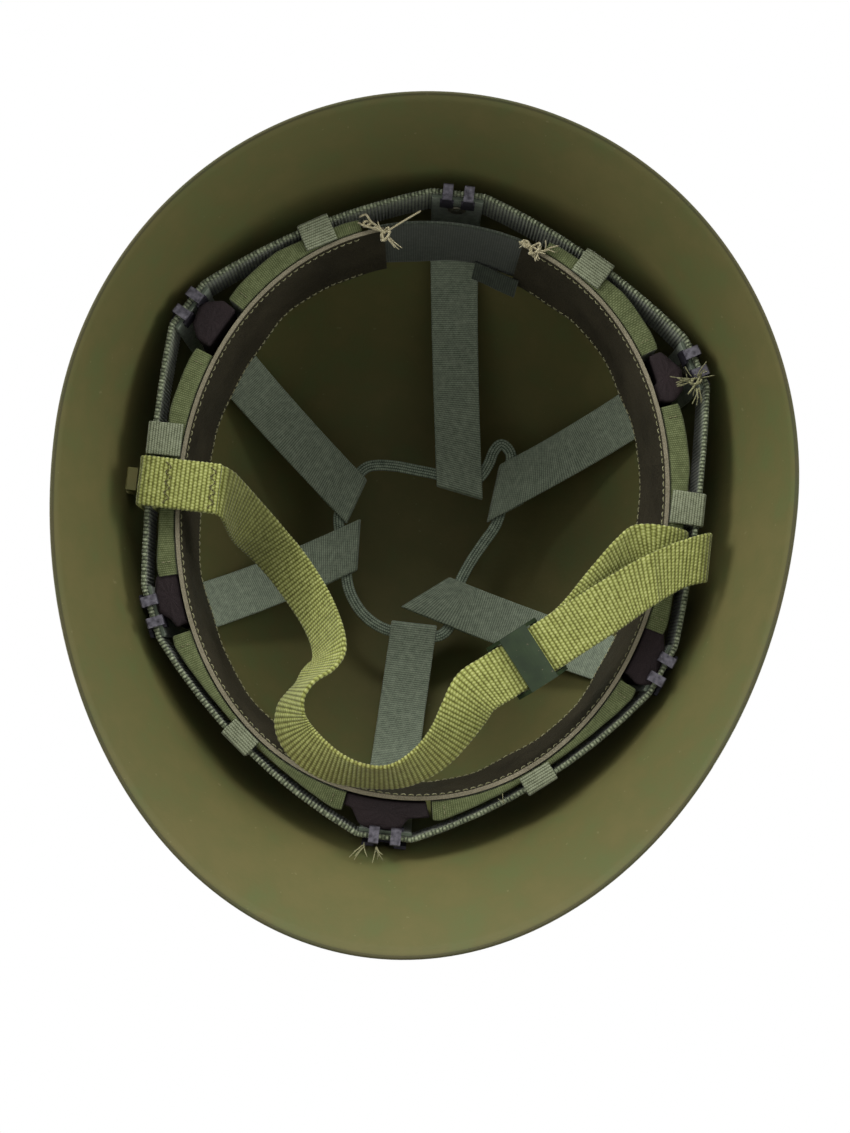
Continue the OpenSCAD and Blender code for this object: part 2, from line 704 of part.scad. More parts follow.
// Swinging part of the chin strap, as chosen points with each one's height and bank
chin_route = [[left_split - clear, loop_y[0], swing_z, 0], [69, 3, 30.8, 0],
              [66.2, 0, 34.6, -4], [61.6, -5, 41.4, -12], [55, -10.6, 46.8, -20],
              [47.8, -17, 49.6, -26], [40.4, -25, 49.6, -30], [34, -33, 47, -34],
              [29.6, -40.2, 42.4, -40], [27.4, -46.2, 37.4, -46], [27.6, -50.6, 33.6, -53],
              [30, -55, 29.6, -62], [33.4, -59.4, 26.8, -73], [36.2, -64, 25.2, -67],
              [37.3, -69, 25.2, -54], [36.4, -74.4, 25.6, -45], [33, -79.4, 25.8, -42],
              [27.2, -83.8, 25.2, -44], [19.8, -87.2, 24.6, -51], [11.6, -88.8, 24, -59],
              [3.2, -88.8, 23.8, -62], [-3.6, -86.8, 24, -58], [-9.8, -82.6, 24.2, -51],
              [-14.8, -77.4, 24.2, -43], [-18.8, -71, 23.6, -34], [-22, -64, 22.4, -20],
              concat(along_buckle(-21, buckle_z), [-2]),
              concat(along_buckle(-12, buckle_z), [0]),
              concat(along_buckle(0, buckle_z), [0]),
              concat(along_buckle(12, buckle_z), [0]),
              concat(along_buckle(32, buckle_z + 0.8), [0]),
              [-right_split + clear, near_y, front_z, 0]];
back_route = [[-right_split + clear, far_y, back_z, 0], [-73.6, -4.2, back_z - 1.2, 0],
              [-67.5, -13, 28.6, 0], [-60.4, -25, 24.8, 0],
              concat(along_buckle(14.6, buckle_z + chin_t - 0.1), [0]),
              concat(along_buckle(0, buckle_z + chin_t - 0.1), [0]),
              concat(along_buckle(-19, buckle_z + chin_t - 0.1), [0])];
// A station of the strap. Near the anchors it is cut square to the swing axis,
// and beside the left one it fans out over a short stretch.
fan = 16;
function banked(line, i, wide_at_end) =
    let(n = len(line),
        a = line[max(i - 1, 0)],
        b = line[min(i + 1, n - 1)],
        fwd = unit([b[0] - a[0], b[1] - a[1], b[2] - a[2]]),
        level = unit([-fwd[1], fwd[0], 0]),
        rise = unit(cross(level, fwd)),
        bank = line[i][3],
        end = line[i][0] < 12 - right_split || i == 0,
        square = max(0, 1 - (left_split - line[i][0]) / fan),
        own = level * cos(bank) + rise * sin(bank),
        width = end ? [0, fwd[0] < 0 ? -wide_at_end : wide_at_end, 0]
                    : unit(own * (1 - square) - [0, square, 0]) * chin_w,
        up = end ? unit(cross([fwd[0], 0, i == 0 ? 0 : fwd[2]], width))
                 : unit(cross(fwd, width)))
    strip([line[i][0], line[i][1], line[i][2]], width, up, chin_t);
module chin_strap() {
    front = smooth(chin_route, 2);
    back = smooth(back_route, 2);
    color("#8a9040")
        union() {
            sweep([for (i = [0:len(front) - 1])
                      banked(front, i, i == 0 ? chin_w : near_wide)]);
            sweep([for (i = [0:len(back) - 1]) banked(back, i, far_wide)]);
        }
}

// Steel slide buckle: a bowed middle plate before the strap and two bars behind it
module strap_buckle() {
    half = chin_w / 2 + clear;
    rail = 1.3;
    bow = 0.7;
    bends = 8;
    plate_z0 = buckle_z - chin_t / 2 - clear - buckle_t;
    bar_z0 = buckle_z + chin_t * 1.5 + clear;
    bar = 3;
    wide = 2 * (half + rail);
    color("#2c3a24")
        translate([buckle_mid[0], buckle_mid[1], 0])
            rotate([0, 0, buckle_turn]) {
                across(wide)
                    polygon(concat(
                        [for (k = [0:bends])
                            [buckle_plate * (k / bends - 0.5), plate_z0 - bow * sin(180 * k / bends)]],
                        [for (k = [bends:-1:0])
                            [buckle_plate * (k / bends - 0.5),
                             plate_z0 + buckle_t - bow * sin(180 * k / bends)]]));
                for (s = [-1, 1]) {
                    translate([s * (buckle_len / 2 - bar / 2) - bar / 2, -wide / 2, bar_z0])
                        cube([bar, wide, buckle_t]);
                    translate([0, s * (half + rail / 2), 0])
                        across(rail)
                            polygon([[-buckle_plate / 2, plate_z0],
                                     [buckle_plate / 2, plate_z0],
                                     [buckle_len / 2, bar_z0],
                                     [buckle_len / 2, bar_z0 + buckle_t],
                                     [-buckle_len / 2, bar_z0 + buckle_t],
                                     [-buckle_len / 2, bar_z0]]);
                }
            }
}

shell();
hook(FRONT);  // hook_front
hook(FRONT_LEFT);  // hook_front_left
hook(REAR_LEFT);  // hook_rear_left
hook(REAR);  // hook_rear
hook(REAR_RIGHT);  // hook_rear_right
hook(FRONT_RIGHT);  // hook_front_right
strap_eyelets();
support_band();
side_lug_left();
crown_strap(FRONT);  // crown_strap_front
crown_strap(FRONT_LEFT);  // crown_strap_front_left
crown_strap(REAR_LEFT);  // crown_strap_rear_left
crown_strap(REAR);  // crown_strap_rear
crown_strap(REAR_RIGHT);  // crown_strap_rear_right
crown_strap(FRONT_RIGHT);  // crown_strap_front_right
crown_drawcord();
sweatband();
sleeve(-84, -28);  // sleeve_front_left
sleeve(-20, 28, loop_face);  // sleeve_left
sleeve(38, 69);  // sleeve_rear_left
sleeve(111, 142);  // sleeve_rear_right
sleeve(152, 200, loop_face);  // sleeve_right
sleeve(208, 264);  // sleeve_front_right
spacer_pad(FRONT, front_pad_len);  // spacer_pad_front
spacer_pad(FRONT_LEFT, pad_len);  // spacer_pad_front_left
spacer_pad(REAR_LEFT, pad_len);  // spacer_pad_rear_left
spacer_pad(REAR_RIGHT, pad_len);  // spacer_pad_rear_right
spacer_pad(FRONT_RIGHT, pad_len);  // spacer_pad_front_right
keeper(FRONT);  // keeper_front_left
keeper(FRONT_LEFT);  // keeper_left
keeper(REAR_LEFT);  // keeper_rear_left
keeper(REAR);  // keeper_rear_right
keeper(REAR_RIGHT);  // keeper_right
keeper(FRONT_RIGHT);  // keeper_front_right
rear_tape();
rear_lacing();
chin_strap_anchor_left();
chin_strap_anchor_right();
chin_strap();
strap_buckle();
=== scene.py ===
# %% [markdown]
# # A steel helmet, seen from below with its liner
# The helmet lies on its rim and the camera looks up into it. The script opens the CAD
# frame, sets the camera and the studio, and then makes one piece after another: the
# pressed shell, the steel hooks, the webbing, the leather and its pads, the straps.

# %% Open the frame
import bpy
import math
import numpy as np
from mathutils import Matrix, Vector


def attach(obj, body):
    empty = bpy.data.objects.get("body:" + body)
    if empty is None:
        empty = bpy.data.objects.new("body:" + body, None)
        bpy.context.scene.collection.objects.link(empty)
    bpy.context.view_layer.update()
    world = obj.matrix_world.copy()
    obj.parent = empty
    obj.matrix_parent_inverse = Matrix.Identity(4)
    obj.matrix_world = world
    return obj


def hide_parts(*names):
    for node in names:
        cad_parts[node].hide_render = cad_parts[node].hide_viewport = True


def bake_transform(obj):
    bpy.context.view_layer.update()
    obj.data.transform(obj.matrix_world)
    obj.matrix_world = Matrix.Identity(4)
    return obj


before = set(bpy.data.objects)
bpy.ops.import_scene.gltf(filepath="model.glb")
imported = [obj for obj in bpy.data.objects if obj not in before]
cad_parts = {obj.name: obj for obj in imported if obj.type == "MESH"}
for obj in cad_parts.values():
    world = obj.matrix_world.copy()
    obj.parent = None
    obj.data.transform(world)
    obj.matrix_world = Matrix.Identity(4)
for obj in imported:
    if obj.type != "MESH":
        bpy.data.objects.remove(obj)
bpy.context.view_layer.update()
MM = 0.001

# %% [markdown]
# ## Camera
# The picture was taken from below the crown, about half a metre away, with the rear of
# the helmet at the top. A camera can be aimed with a constraint, but here its three
# axes are worked out and written straight into its matrix, because the roll and the
# place of the rim in the picture are both known.

# %% Camera below the rim
distance, tilt, roll = 520 * MM, math.radians(6.5), math.radians(6.55)
# The focal length and the middle of the rim are in pixels of the picture
focal, width, height = 1560, 850, 1133
rim_x, rim_y = 421.5, 515.7
sensor = 36
eye = Vector((0, -math.sin(tilt), -math.cos(tilt))) * distance
ahead = -eye.normalized()
level_up = Vector((0, math.cos(tilt), -math.sin(tilt)))
level_right = ahead.cross(level_up)
up = level_up * math.cos(roll) - level_right * math.sin(roll)
right = level_up * math.sin(roll) + level_right * math.cos(roll)
rim_middle = Vector(((rim_x - width / 2) / focal, (height / 2 - rim_y) / focal, 1))
turn = Vector((0, 0, 1)).rotation_difference(rim_middle.normalized()).to_matrix()
right, up, ahead = turn @ Matrix((right, up, ahead))
lens = bpy.data.cameras.new("camera")
lens.sensor_width, lens.lens = sensor, sensor * focal / height
lens.clip_start, lens.clip_end = 10 * MM, 20
camera = bpy.data.objects.new("camera", lens)
camera.matrix_world = Matrix.Translation(eye) @ Matrix((right, up, -ahead)).transposed().to_4x4()
bpy.context.scene.collection.objects.link(camera)
bpy.context.scene.camera = camera
bpy.context.scene.view_settings.view_transform = "Standard"
print("lens", round(lens.lens, 2), "mm, eye", [round(v, 3) for v in eye])

# %% [markdown]
# ## Nodes and colours
# Colours are written as sRGB hex, as a colour picker gives them, and one function turns
# them to the linear values that a shader needs. Another adds a node with its settings
# and links, so a material reads as a list of what it is made of.

# %% Helpers for materials
def linear(hex_code):
    """A hex code as linear light, with a full alpha."""
    parts = [int(hex_code[i:i + 2], 16) / 255 for i in (1, 3, 5)]
    return [c / 12.92 if c <= 0.04045 else ((c + 0.055) / 1.055) ** 2.4 for c in parts] + [1]


def add(tree, kind, inputs=None, **settings):
    """Adds a node. Each input is a number, a colour or another node's output."""
    node = tree.nodes.new("ShaderNode" + kind)
    for name, value in settings.items():
        setattr(node, name, value)
    for name, value in (inputs or {}).items():
        if isinstance(value, bpy.types.NodeSocket):
            tree.links.new(value, node.inputs[name])
        else:
            node.inputs[name].default_value = value
    return node


def maths(tree, operation, *values):
    """One operation on numbers or outputs."""
    return add(tree, "Math", dict(enumerate(values)), operation=operation).outputs[0]


def ranged(tree, value, low, high, to_low=0.0, to_high=1.0, **settings):
    """Runs from to_low to to_high while the value runs from low to high."""
    inputs = {"Value": value, "From Min": low, "From Max": high, "To Min": to_low, "To Max": to_high}
    return add(tree, "MapRange", inputs, **settings).outputs[0]


def mixed(tree, share, colour, code, **settings):
    """A colour with a share of another one over it."""
    return add(tree, "MixRGB", {0: share, 1: colour, 2: linear(code)}, **settings).outputs[0]


def ramp(tree, fac, *stops):
    """Colours along a ramp, each stop a place and a hex code."""
    node = add(tree, "ValToRGB", {"Fac": fac})
    while len(node.color_ramp.elements) < len(stops):
        node.color_ramp.elements.new(0.5)
    for element, (place, code) in zip(node.color_ramp.elements, stops):
        element.position, element.color = place, linear(code)
    return node.outputs["Color"]


def new_finish(name):
    """An empty material, its node tree and its main shader."""
    finish = bpy.data.materials.new(name)
    finish.use_nodes = True
    return finish, finish.node_tree, finish.node_tree.nodes["Principled BSDF"]


print("olive in linear light", [round(c, 3) for c in linear("#5f5d38")[:3]])

# %% [markdown]
# ## Studio
# The background is white paper. The world is white where the camera, a reflection or
# glass sees it, and a softer grey as a lamp. The floor carries the helmet and its
# shadow. It is clear from below, as the camera stands under it, and it keeps no light
# from the lamps down there. Far from the helmet it fades into the white. Three soft
# lamps stand low, at the rear and at both sides, and reach the far walls of the bowl,
# and two light the dome from above.

# %% World, floor and lamps
world = bpy.data.worlds.new("white_paper")
bpy.context.scene.world = world
world.use_nodes = True
tree = world.node_tree
rays = add(tree, "LightPath")
seen = maths(tree, "MAXIMUM", rays.outputs["Is Camera Ray"],
             maths(tree, "MAXIMUM", rays.outputs["Is Glossy Ray"], rays.outputs["Is Transmission Ray"]))
rise = add(tree, "SeparateXYZ", {0: add(tree, "TexCoord").outputs["Generated"]}).outputs[2]
under = maths(tree, "POWER", maths(tree, "MAXIMUM", maths(tree, "MULTIPLY", rise, -1.0), 0.0), 2.0)
sky = maths(tree, "MULTIPLY_ADD", maths(tree, "MAXIMUM", rise, 0.0), -0.3, 0.82)
soft = maths(tree, "MULTIPLY_ADD", under, -0.5, sky)
soft_light = add(tree, "Background", {"Color": (1, 1, 1, 1), "Strength": soft})
white = add(tree, "Background", {"Color": (1, 1, 1, 1), "Strength": 1.0})
both = add(tree, "MixShader", {0: seen, 1: soft_light.outputs[0], 2: white.outputs[0]})
tree.links.new(both.outputs[0], tree.nodes["World Output"].inputs[0])

floor_mesh = bpy.data.meshes.new("floor")
floor_mesh.from_pydata([(-4, -4, 0), (4, -4, 0), (4, 4, 0), (-4, 4, 0)], [], [(0, 1, 2, 3)])
floor = bpy.data.objects.new("floor", floor_mesh)
bpy.context.scene.collection.objects.link(floor)
paper = bpy.data.materials.new("matt_paper")
paper.use_nodes = True
tree = paper.node_tree
tree.nodes.remove(tree.nodes["Principled BSDF"])
matt = add(tree, "BsdfDiffuse", {"Color": linear("#eeeeec")})
clear = add(tree, "BsdfTransparent")
side = add(tree, "NewGeometry").outputs["Backfacing"]
far = add(tree, "VectorMath", {0: add(tree, "TexCoord").outputs["Object"]}, operation="LENGTH")
fade = ranged(tree, far.outputs["Value"], 0.45, 1.1, interpolation_type="SMOOTHSTEP")
hidden = maths(tree, "MAXIMUM", side, fade)
both = add(tree, "MixShader", {0: hidden, 1: matt.outputs[0], 2: clear.outputs[0]})
tree.links.new(both.outputs[0], tree.nodes["Material Output"].inputs[0])
floor_mesh.materials.append(paper)
floor.visible_shadow = floor.visible_diffuse = floor.visible_glossy = False


def lamp(name, place, target, size, power):
    """A round area lamp that faces a target, in metres and watts."""
    light = bpy.data.lights.new(name, "AREA")
    light.shape, light.size, light.energy = "DISK", size, power
    holder = bpy.data.objects.new(name, light)
    holder.location = place
    holder.rotation_euler = (Vector(target) - Vector(place)).to_track_quat("-Z", "Y").to_euler()
    bpy.context.scene.collection.objects.link(holder)


bowl, front_bowl, dome = (0, 0, 0.03), (0, -0.04, 0.03), (0, 0, 0.08)
lamp("lamp_rear", (0.12, 0.97, -0.66), front_bowl, 0.5, 6.5)
lamp("lamp_left", (0.95, 0.4, -0.5), bowl, 0.5, 7.5)
lamp("lamp_right", (-0.95, 0.4, -0.5), bowl, 0.5, 5)
lamp("lamp_above_left", (-0.9, -0.8, 1.3), dome, 0.9, 20)
lamp("lamp_above_right", (1.1, -0.4, 0.9), dome, 0.9, 8)

# %% [markdown]
# ## Making meshes
# Nearly every piece is a shape run along a line: webbing, tape, cord, stitches. One
# function sweeps an outline along a path, and it keeps for each corner how far along
# and across the piece it lies. The weaves are drawn from these two lengths, so that
# they follow each strap round its bends at their real size.

# %% Curves and sweeps
def unit(v):
    """Vectors scaled to a length of one."""
    v = np.asarray(v, float)
    return v / np.linalg.norm(v, axis=-1, keepdims=True)


def smooth(rows, steps, closed=False):
    """A smooth curve through chosen rows of numbers."""
    rows = np.asarray(rows, float)
    n = len(rows)
    pick = (lambda i: rows[i % n]) if closed else (lambda i: rows[min(max(i, 0), n - 1)])
    made = []
    for i in range(n if closed else n - 1):
        a, b, c, d = (pick(i + j) for j in (-1, 0, 1, 2))
        for k in np.arange(steps) / steps:
            made.append(0.5 * (2 * b + (c - a) * k + (2 * a - 5 * b + 4 * c - d) * k * k
                               + (3 * b - a - 3 * c + d) * k ** 3))
    return np.array(made if closed else made + [rows[-1]])


def lifted(xy, z=0.0):
    """Flat points, or one flat point, at a height."""
    xy = np.asarray(xy, float)
    return np.concatenate([xy, np.full(xy.shape[:-1] + (1,), z)], -1)


def lengths(path):
    """How far along a path each of its points lies."""
    return np.r_[0, np.cumsum(np.linalg.norm(np.diff(path[:, :3], axis=0), axis=1))]


def evenly(rows, gap, closed=False):
    """The same line with its stations a fixed distance apart."""
    rows = np.vstack([rows, rows[:1]]) if closed else np.asarray(rows, float)
    run = lengths(rows)
    count = max(2, int(round(run[-1] / gap)) + 1)
    places = np.linspace(0, run[-1], count)
    even = np.stack([np.interp(places, run, column) for column in rows.T], 1)
    return even[:-1] if closed else even


def settle(line):
    """Smooths a closed line a little."""
    return (np.roll(line, 1, 0) + 2 * line + np.roll(line, -1, 0)) / 4


def onward(line):
    """The way along a closed line at each of its points."""
    return np.roll(line, -1, 0) - np.roll(line, 1, 0)


def outward(line):
    """The level way out of a closed line that runs anticlockwise."""
    ahead = unit(onward(line))
    return np.stack([ahead[:, 1], -ahead[:, 0], 0 * ahead[:, 0]], 1)


def sweep(path, across, up, outline, closed=False, start=0.0, along=None):
    """Points, faces and corner lengths of an outline run along a path, in mm."""
    path, across, up = (np.broadcast_to(np.asarray(a, float), np.shape(path)) for a in (path, across, up))
    outline = np.broadcast_to(outline, (len(path),) + np.shape(outline)[-2:])
    rings = path[:, None] + across[:, None] * outline[..., :1] + up[:, None] * outline[..., 1:]
    n, k = rings.shape[:2]
    along = start + lengths(np.vstack([path, path[:1]])) if along is None else along
    i, a = (v.ravel() for v in np.mgrid[:n if closed else n - 1, :k])
    j, b = (i + 1) % n, (a + 1) % k
    faces = np.stack([i * k + a, i * k + b, j * k + b, j * k + a], 1).tolist()
    side = [outline[i, a, 0], outline[i, b, 0], outline[j, b, 0], outline[j, a, 0]]
    thread = np.stack([along[np.stack([i, i, i + 1, i + 1], 1)], np.stack(side, 1)], -1).reshape(-1, 2)
    if not closed:
        faces += [list(range(k))[::-1], list(range((n - 1) * k, n * k))]
        first_end = np.c_[np.full(k, along[0]), outline[0, ::-1, 0]]
        last_end = np.c_[np.full(k, along[n - 1]), outline[-1, :, 0]]
        thread = np.vstack([thread, first_end, last_end])
    return rings.reshape(-1, 3), faces, thread


def wrapped(rings, capped=True):
    """Quads between rings of points, and a face over each end."""
    n, m = len(rings), len(rings[0])
    faces = [(i * m + j, i * m + (j + 1) % m, (i + 1) * m + (j + 1) % m, (i + 1) * m + j)
             for i in range(n - 1) for j in range(m)]
    return faces + ([tuple(range(m))[::-1], tuple(range((n - 1) * m, n * m))] if capped else [])


def unwoven(points, faces):
    """A solid whose finish reads no lengths along and across it."""
    return points, faces, np.zeros((sum(len(f) for f in faces), 2))


def joined(parts):
    """Several swept solids as one."""
    points, faces, thread, base = [], [], [], 0
    for p, f, t in parts:
        points.append(p)
        faces += [[base + i for i in face] for face in f]
        thread.append(t)
        base += len(p)
    return np.vstack(points), faces, np.vstack(thread)


def make_piece(name, solid, finish, body, stands_for=(), crease=50):
    """A mesh object in metres that rides on a body, in one finish or a list of them."""
    points, faces, thread = solid
    mesh = bpy.data.meshes.new(name)
    mesh.from_pydata((np.asarray(points) * MM).tolist(), [], faces)
    layer = mesh.uv_layers.new(name="thread")
    layer.data.foreach_set("uv", (np.asarray(thread, np.float32) * MM).ravel())
    mesh.calc_loop_triangles()
    co = np.empty(3 * len(mesh.vertices), np.float32)
    t = np.empty(3 * len(mesh.loop_triangles), np.int32)
    mesh.vertices.foreach_get("co", co)
    mesh.loop_triangles.foreach_get("vertices", t)
    co, t = co.reshape(-1, 3), t.reshape(-1, 3)
    if np.einsum("ij,ij->i", co[t[:, 0]], np.cross(co[t[:, 1]], co[t[:, 2]])).sum() < 0:
        mesh.flip_normals()
    mesh.shade_smooth()
    mesh.set_sharp_from_angle(angle=math.radians(crease))
    for f in finish if isinstance(finish, list) else [finish]:
        mesh.materials.append(f)
    piece = bpy.data.objects.new(name, mesh)
    bpy.context.scene.collection.objects.link(piece)
    if body:
        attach(piece, body)
    if stands_for:
        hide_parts(*([stands_for] if isinstance(stands_for, str) else stands_for))
    return piece


def strap_outline(width, thick, steps=10):
    """Flat faces and rounded edges, anticlockwise."""
    r, half = thick / 2, width / 2 - thick / 2
    bend = np.radians(np.linspace(-90, 90, 7))
    edge = np.stack([half + r * np.cos(bend), r * np.sin(bend)], 1)
    face = np.stack([np.linspace(half, -half, steps + 1)[1:-1], np.full(steps - 1, r)], 1)
    return np.vstack([edge, face, -edge, -face])


def ribbed(outline, along, pitch, depth, edge=0.0):
    """The outline at each station, thinner in the valleys between the ribs."""
    dip = 1 - np.abs(np.sin(np.pi * along / pitch)) ** 0.6
    scale = np.stack([1 - edge * dip, 1 - depth * dip], 1)
    return outline[None] * scale[:, None]


def thread_sweep(path, beside, radius, sides, fat):
    """A round thread that is fat times as thick at each station."""
    ahead = unit(np.gradient(path, axis=0))
    side = unit(np.cross(ahead, beside))
    a = np.radians(np.arange(sides) * 360 / sides)
    ring = radius * np.stack([np.cos(a), np.sin(a)], 1)
    return sweep(path, side, np.cross(ahead, side), ring[None] * fat[:, None, None])


def tube(points, radius):
    """A thread through some points, thinner at both ends."""
    path = evenly(smooth(points, 6), radius * 2.2)
    fat = np.ones(len(path))
    fat[0] = fat[-1] = 0.55
    return thread_sweep(path, [0.31, 0.42, 0.85], radius, 6, fat)


print("webbing outline has", len(strap_outline(19, 1.8)), "corners")

# %% [markdown]
# ## Shapes that the pieces share
# The shell is egg-shaped, wider towards the rear, and its brim flares out. The liner
# hangs in six hooks on the inner wall. These are the same curves and sizes as in the
# CAD part, so each piece made here lies where its solid is.

# %% Shell, band and head curves, in mm
rim_half, rim_reach, rim_wide_at = 125, 146, 15.6
dome_half, dome_front, dome_rear, dome_wide_at = 113.8, 120.1, 132.2, 25.5
crown_h, crown_at, dome_full, flare_h, steel_t = 165, 8, 2.15, 52, 1.4
band_w, band_t, band_mid_z = 20, 2, 44
head_half, head_at, head_rear, head_front, head_full = 86, 10, 98.5, 105.0, 2.1
leather_z, leather_h, leather_t = 34, 40, 1.5


def egg(half, front, rear, wide_at, t):
    """A place on an egg that is widest at y = wide_at."""
    reach = np.where(np.sin(t) >= 0, rear - wide_at, front + wide_at)
    return np.stack(np.broadcast_arrays(half * np.cos(t), wide_at + reach * np.sin(t)), -1)


def skin(t, phi):
    """The shell's outer face at angle t round it and phi up it."""
    t, phi = np.broadcast_arrays(np.asarray(t, float), phi)
    r, z = np.cos(phi) ** (2 / dome_full), crown_h * np.sin(phi) ** (2 / dome_full)
    flare = np.where(z < flare_h, (1 - z / flare_h) ** 2, 0)[..., None]
    dome = egg(dome_half * r, (dome_front + crown_at) * r - crown_at, crown_at + (dome_rear - crown_at) * r,
               crown_at + (dome_wide_at - crown_at) * r, t)
    rim = egg(rim_half + 0 * r, rim_reach + 0 * r, rim_reach + 0 * r, rim_wide_at + 0 * r, t)
    return np.concatenate([dome * (1 - flare) + rim * flare, z[..., None]], -1)


def skin_out(t, phi):
    """The way out of the outer face there."""
    h = math.radians(0.4)
    low = np.maximum(phi - h, 0)
    return unit(np.cross(skin(t + math.radians(1), phi) - skin(t - math.radians(1), phi),
                         skin(t, low + 2 * h) - skin(t, low)))


def phi_at(z):
    """The angle up the shell at which its height is z."""
    return math.asin((z / crown_h) ** (dome_full / 2))


def wall(t, z):
    """A place on the shell's inner face."""
    return (skin(t, phi_at(z)) - steel_t * skin_out(t, phi_at(z)))[:2]


# The hooks stand round the wall in the order front, front left, rear left, rear, rear right
# and front right. The band's middle lies 3.3 mm off the wall there, and is straight for
# 9.6 mm to each side
hook_at = np.radians([-90, -29, 28, 90, 152, 209])
hook_z, off_wall, straight = 54, 3.3, 9.6
hook_out = [unit(skin_out(t, phi_at(hook_z))[:2]) for t in hook_at]
hook_mid = [wall(t, hook_z) - out * off_wall for t, out in zip(hook_at, hook_out)]
hook_side = [np.array([-out[1], out[0]]) for out in hook_out]
bows = [6, 2, 4, 4, 2, 6]


def span_point(i, k):
    """A place on the band, at share k of the way from hook i to the next."""
    j = (i + 1) % 6
    a, b = hook_mid[i] + hook_side[i] * straight, hook_mid[j] - hook_side[j] * straight
    out = unit([(b - a)[1], -(b - a)[0]])
    return a * (1 - k) + b * k + out * bows[i] * 4 * k * (1 - k)


def span_out(i, k):
    """The way out of the band there."""
    a, b = span_point(i, k - 0.02), span_point(i, k + 0.02)
    return unit([(b - a)[1], -(b - a)[0]])


band_line = np.array([span_point(i, s / 8) for i in range(6) for s in range(9)])


def head(t, d=0.0):
    """The head opening, moved out by d."""
    c, s = np.cos(t), np.sin(t)
    ry = np.where(s >= 0, head_rear, head_front)
    x, y = (np.sign(v) * np.abs(v) ** (2 / head_full) for v in (c, s))
    p = np.stack([head_half * x, head_at + ry * y], -1)
    out_x, out_y = (np.sign(v) * np.abs(v) ** (2 - 2 / head_full) for v in (c, s))
    out = unit(np.stack([out_x / head_half, out_y / ry], -1))
    return p + np.asarray(d)[..., None] * out


def head_angle(half):
    """Where round the head a gap at the rear ends that is half to each side."""
    return math.acos((half / head_half) ** (head_full / 2))


def lean(z):
    """The sweatband leans in by 3 mm over its height."""
    return -3 * (z - leather_z) / leather_h


print("hooks at", [[round(v, 1) for v in p] for p in hook_mid])

# %% [markdown]
# ## Olive enamel on pressed steel
# A helmet shell is pressed from one sheet and sprayed with a matt olive enamel. Sprayed
# enamel dries with a fine orange peel, a millimetre or two across, which blurs every
# reflection, and it gathers dust and small chips. Image textures could show that, but
# noise at the real sizes needs no file and looks right from any side.

# %% Material: matt olive enamel
def place(tree):
    """Places in metres on the piece itself."""
    return add(tree, "TexCoord").outputs["Object"]


def noise(tree, where, size_mm, detail=2.0, rough=0.5):
    """Cloudy noise whose patches are about size_mm across."""
    inputs = {"Vector": where, "Scale": 1000 / size_mm, "Detail": detail, "Roughness": rough}
    return add(tree, "TexNoise", inputs).outputs["Fac"]


def bump(tree, height, depth_mm, normal=None, strength=1.0):
    """Depth is the real depth of the pattern."""
    inputs = {"Height": height, "Distance": depth_mm * MM, "Strength": strength}
    if normal is not None:
        inputs["Normal"] = normal
    return add(tree, "Bump", inputs).outputs["Normal"]


def connect(tree, shader, **sockets):
    """Links or sets sockets of the shader, with _ for a space in a name."""
    for name, value in sockets.items():
        socket = shader.inputs[name.replace("_", " ")]
        if isinstance(value, bpy.types.NodeSocket):
            tree.links.new(value, socket)
        else:
            socket.default_value = value


# Gives the eye a blurred sheen over slow, cloudy shifts between green and brown
enamel, tree, shader = new_finish("matt_olive_enamel")
where = place(tree)
cloud = noise(tree, where, 45, 3)
blotch = maths(tree, "MULTIPLY_ADD", noise(tree, where, 14, 4, 0.6), 0.6, maths(tree, "MULTIPLY", cloud, 0.4))
tone = ramp(tree, blotch, (0.38, "#5a5f38"), (0.5, "#5f5d37"), (0.62, "#645f39"))
dust = maths(tree, "GREATER_THAN", noise(tree, where, 2.2, 1), 0.775)
dusty = mixed(tree, maths(tree, "MULTIPLY", dust, 0.25), tone, "#8f8a66")
# A dark line of painted shade runs round the lowest edge of the brim, where the sheet's edge lies in shadow
low = add(tree, "SeparateXYZ", {0: where}).outputs[2]
colour = mixed(tree, ranged(tree, low, 0.9 * MM, 0.4 * MM, 0.0, 0.55), dusty, "#211f18")
peel_size = 1.6
peel = noise(tree, where, peel_size, 2)
connect(tree, shader, Base_Color=colour, Roughness=maths(tree, "MULTIPLY_ADD", cloud, 0.14, 0.55),
        Specular_IOR_Level=0.2,
        Normal=bump(tree, peel, 0.05, bump(tree, noise(tree, where, 30, 2), 0.35)))
print("orange peel", peel_size, "mm across")

# %% [markdown]
# ## The shell
# The CAD solid is in flat facets, enough for its size and weight. Here the same curve is
# sampled more finely, so that the brim has no corners, and the sheet's edge is rounded as
# sheared and filed steel is.

# %% The pressed shell
# Stations lie closer near the rim, where the flare bends most
turns = np.radians(np.arange(0, 360, 1.5))
climb_count = 64
climb = np.radians(90 * (np.arange(climb_count) / climb_count) ** 1.5)
outer = [skin(turns, phi) for phi in climb]
inner = [skin(turns, phi) - steel_t * skin_out(turns, phi) for phi in climb]
out_flat = unit(skin_out(turns, 0.0)[:, :2])
rim_ring = skin(turns, 0.0)
edge_r, edge_rings = 0.75, []
for a in np.radians([60, 90, 120]):
    ring = rim_ring.copy()
    ring[:, :2] -= out_flat * (edge_r - edge_r * math.cos(a))
    ring[:, 2] = edge_r - edge_r * math.sin(a)
    edge_rings.append(ring)
low_outer, low_inner = rim_ring.copy(), rim_ring.copy()
low_outer[:, 2] = low_inner[:, 2] = edge_r
low_inner[:, :2] -= out_flat * edge_r * 2
keep = [i for i in range(len(climb)) if outer[i][0, 2] > steel_t]
rings = [outer[i] for i in keep[::-1]] + [low_outer] + edge_rings + [low_inner] + [inner[i] for i in keep]
m = len(turns)
points = np.vstack(rings + [[[0, crown_at, crown_h]], [[0, crown_at, crown_h - steel_t]]])
faces = wrapped(rings, capped=False)
last = (len(rings) - 1) * m
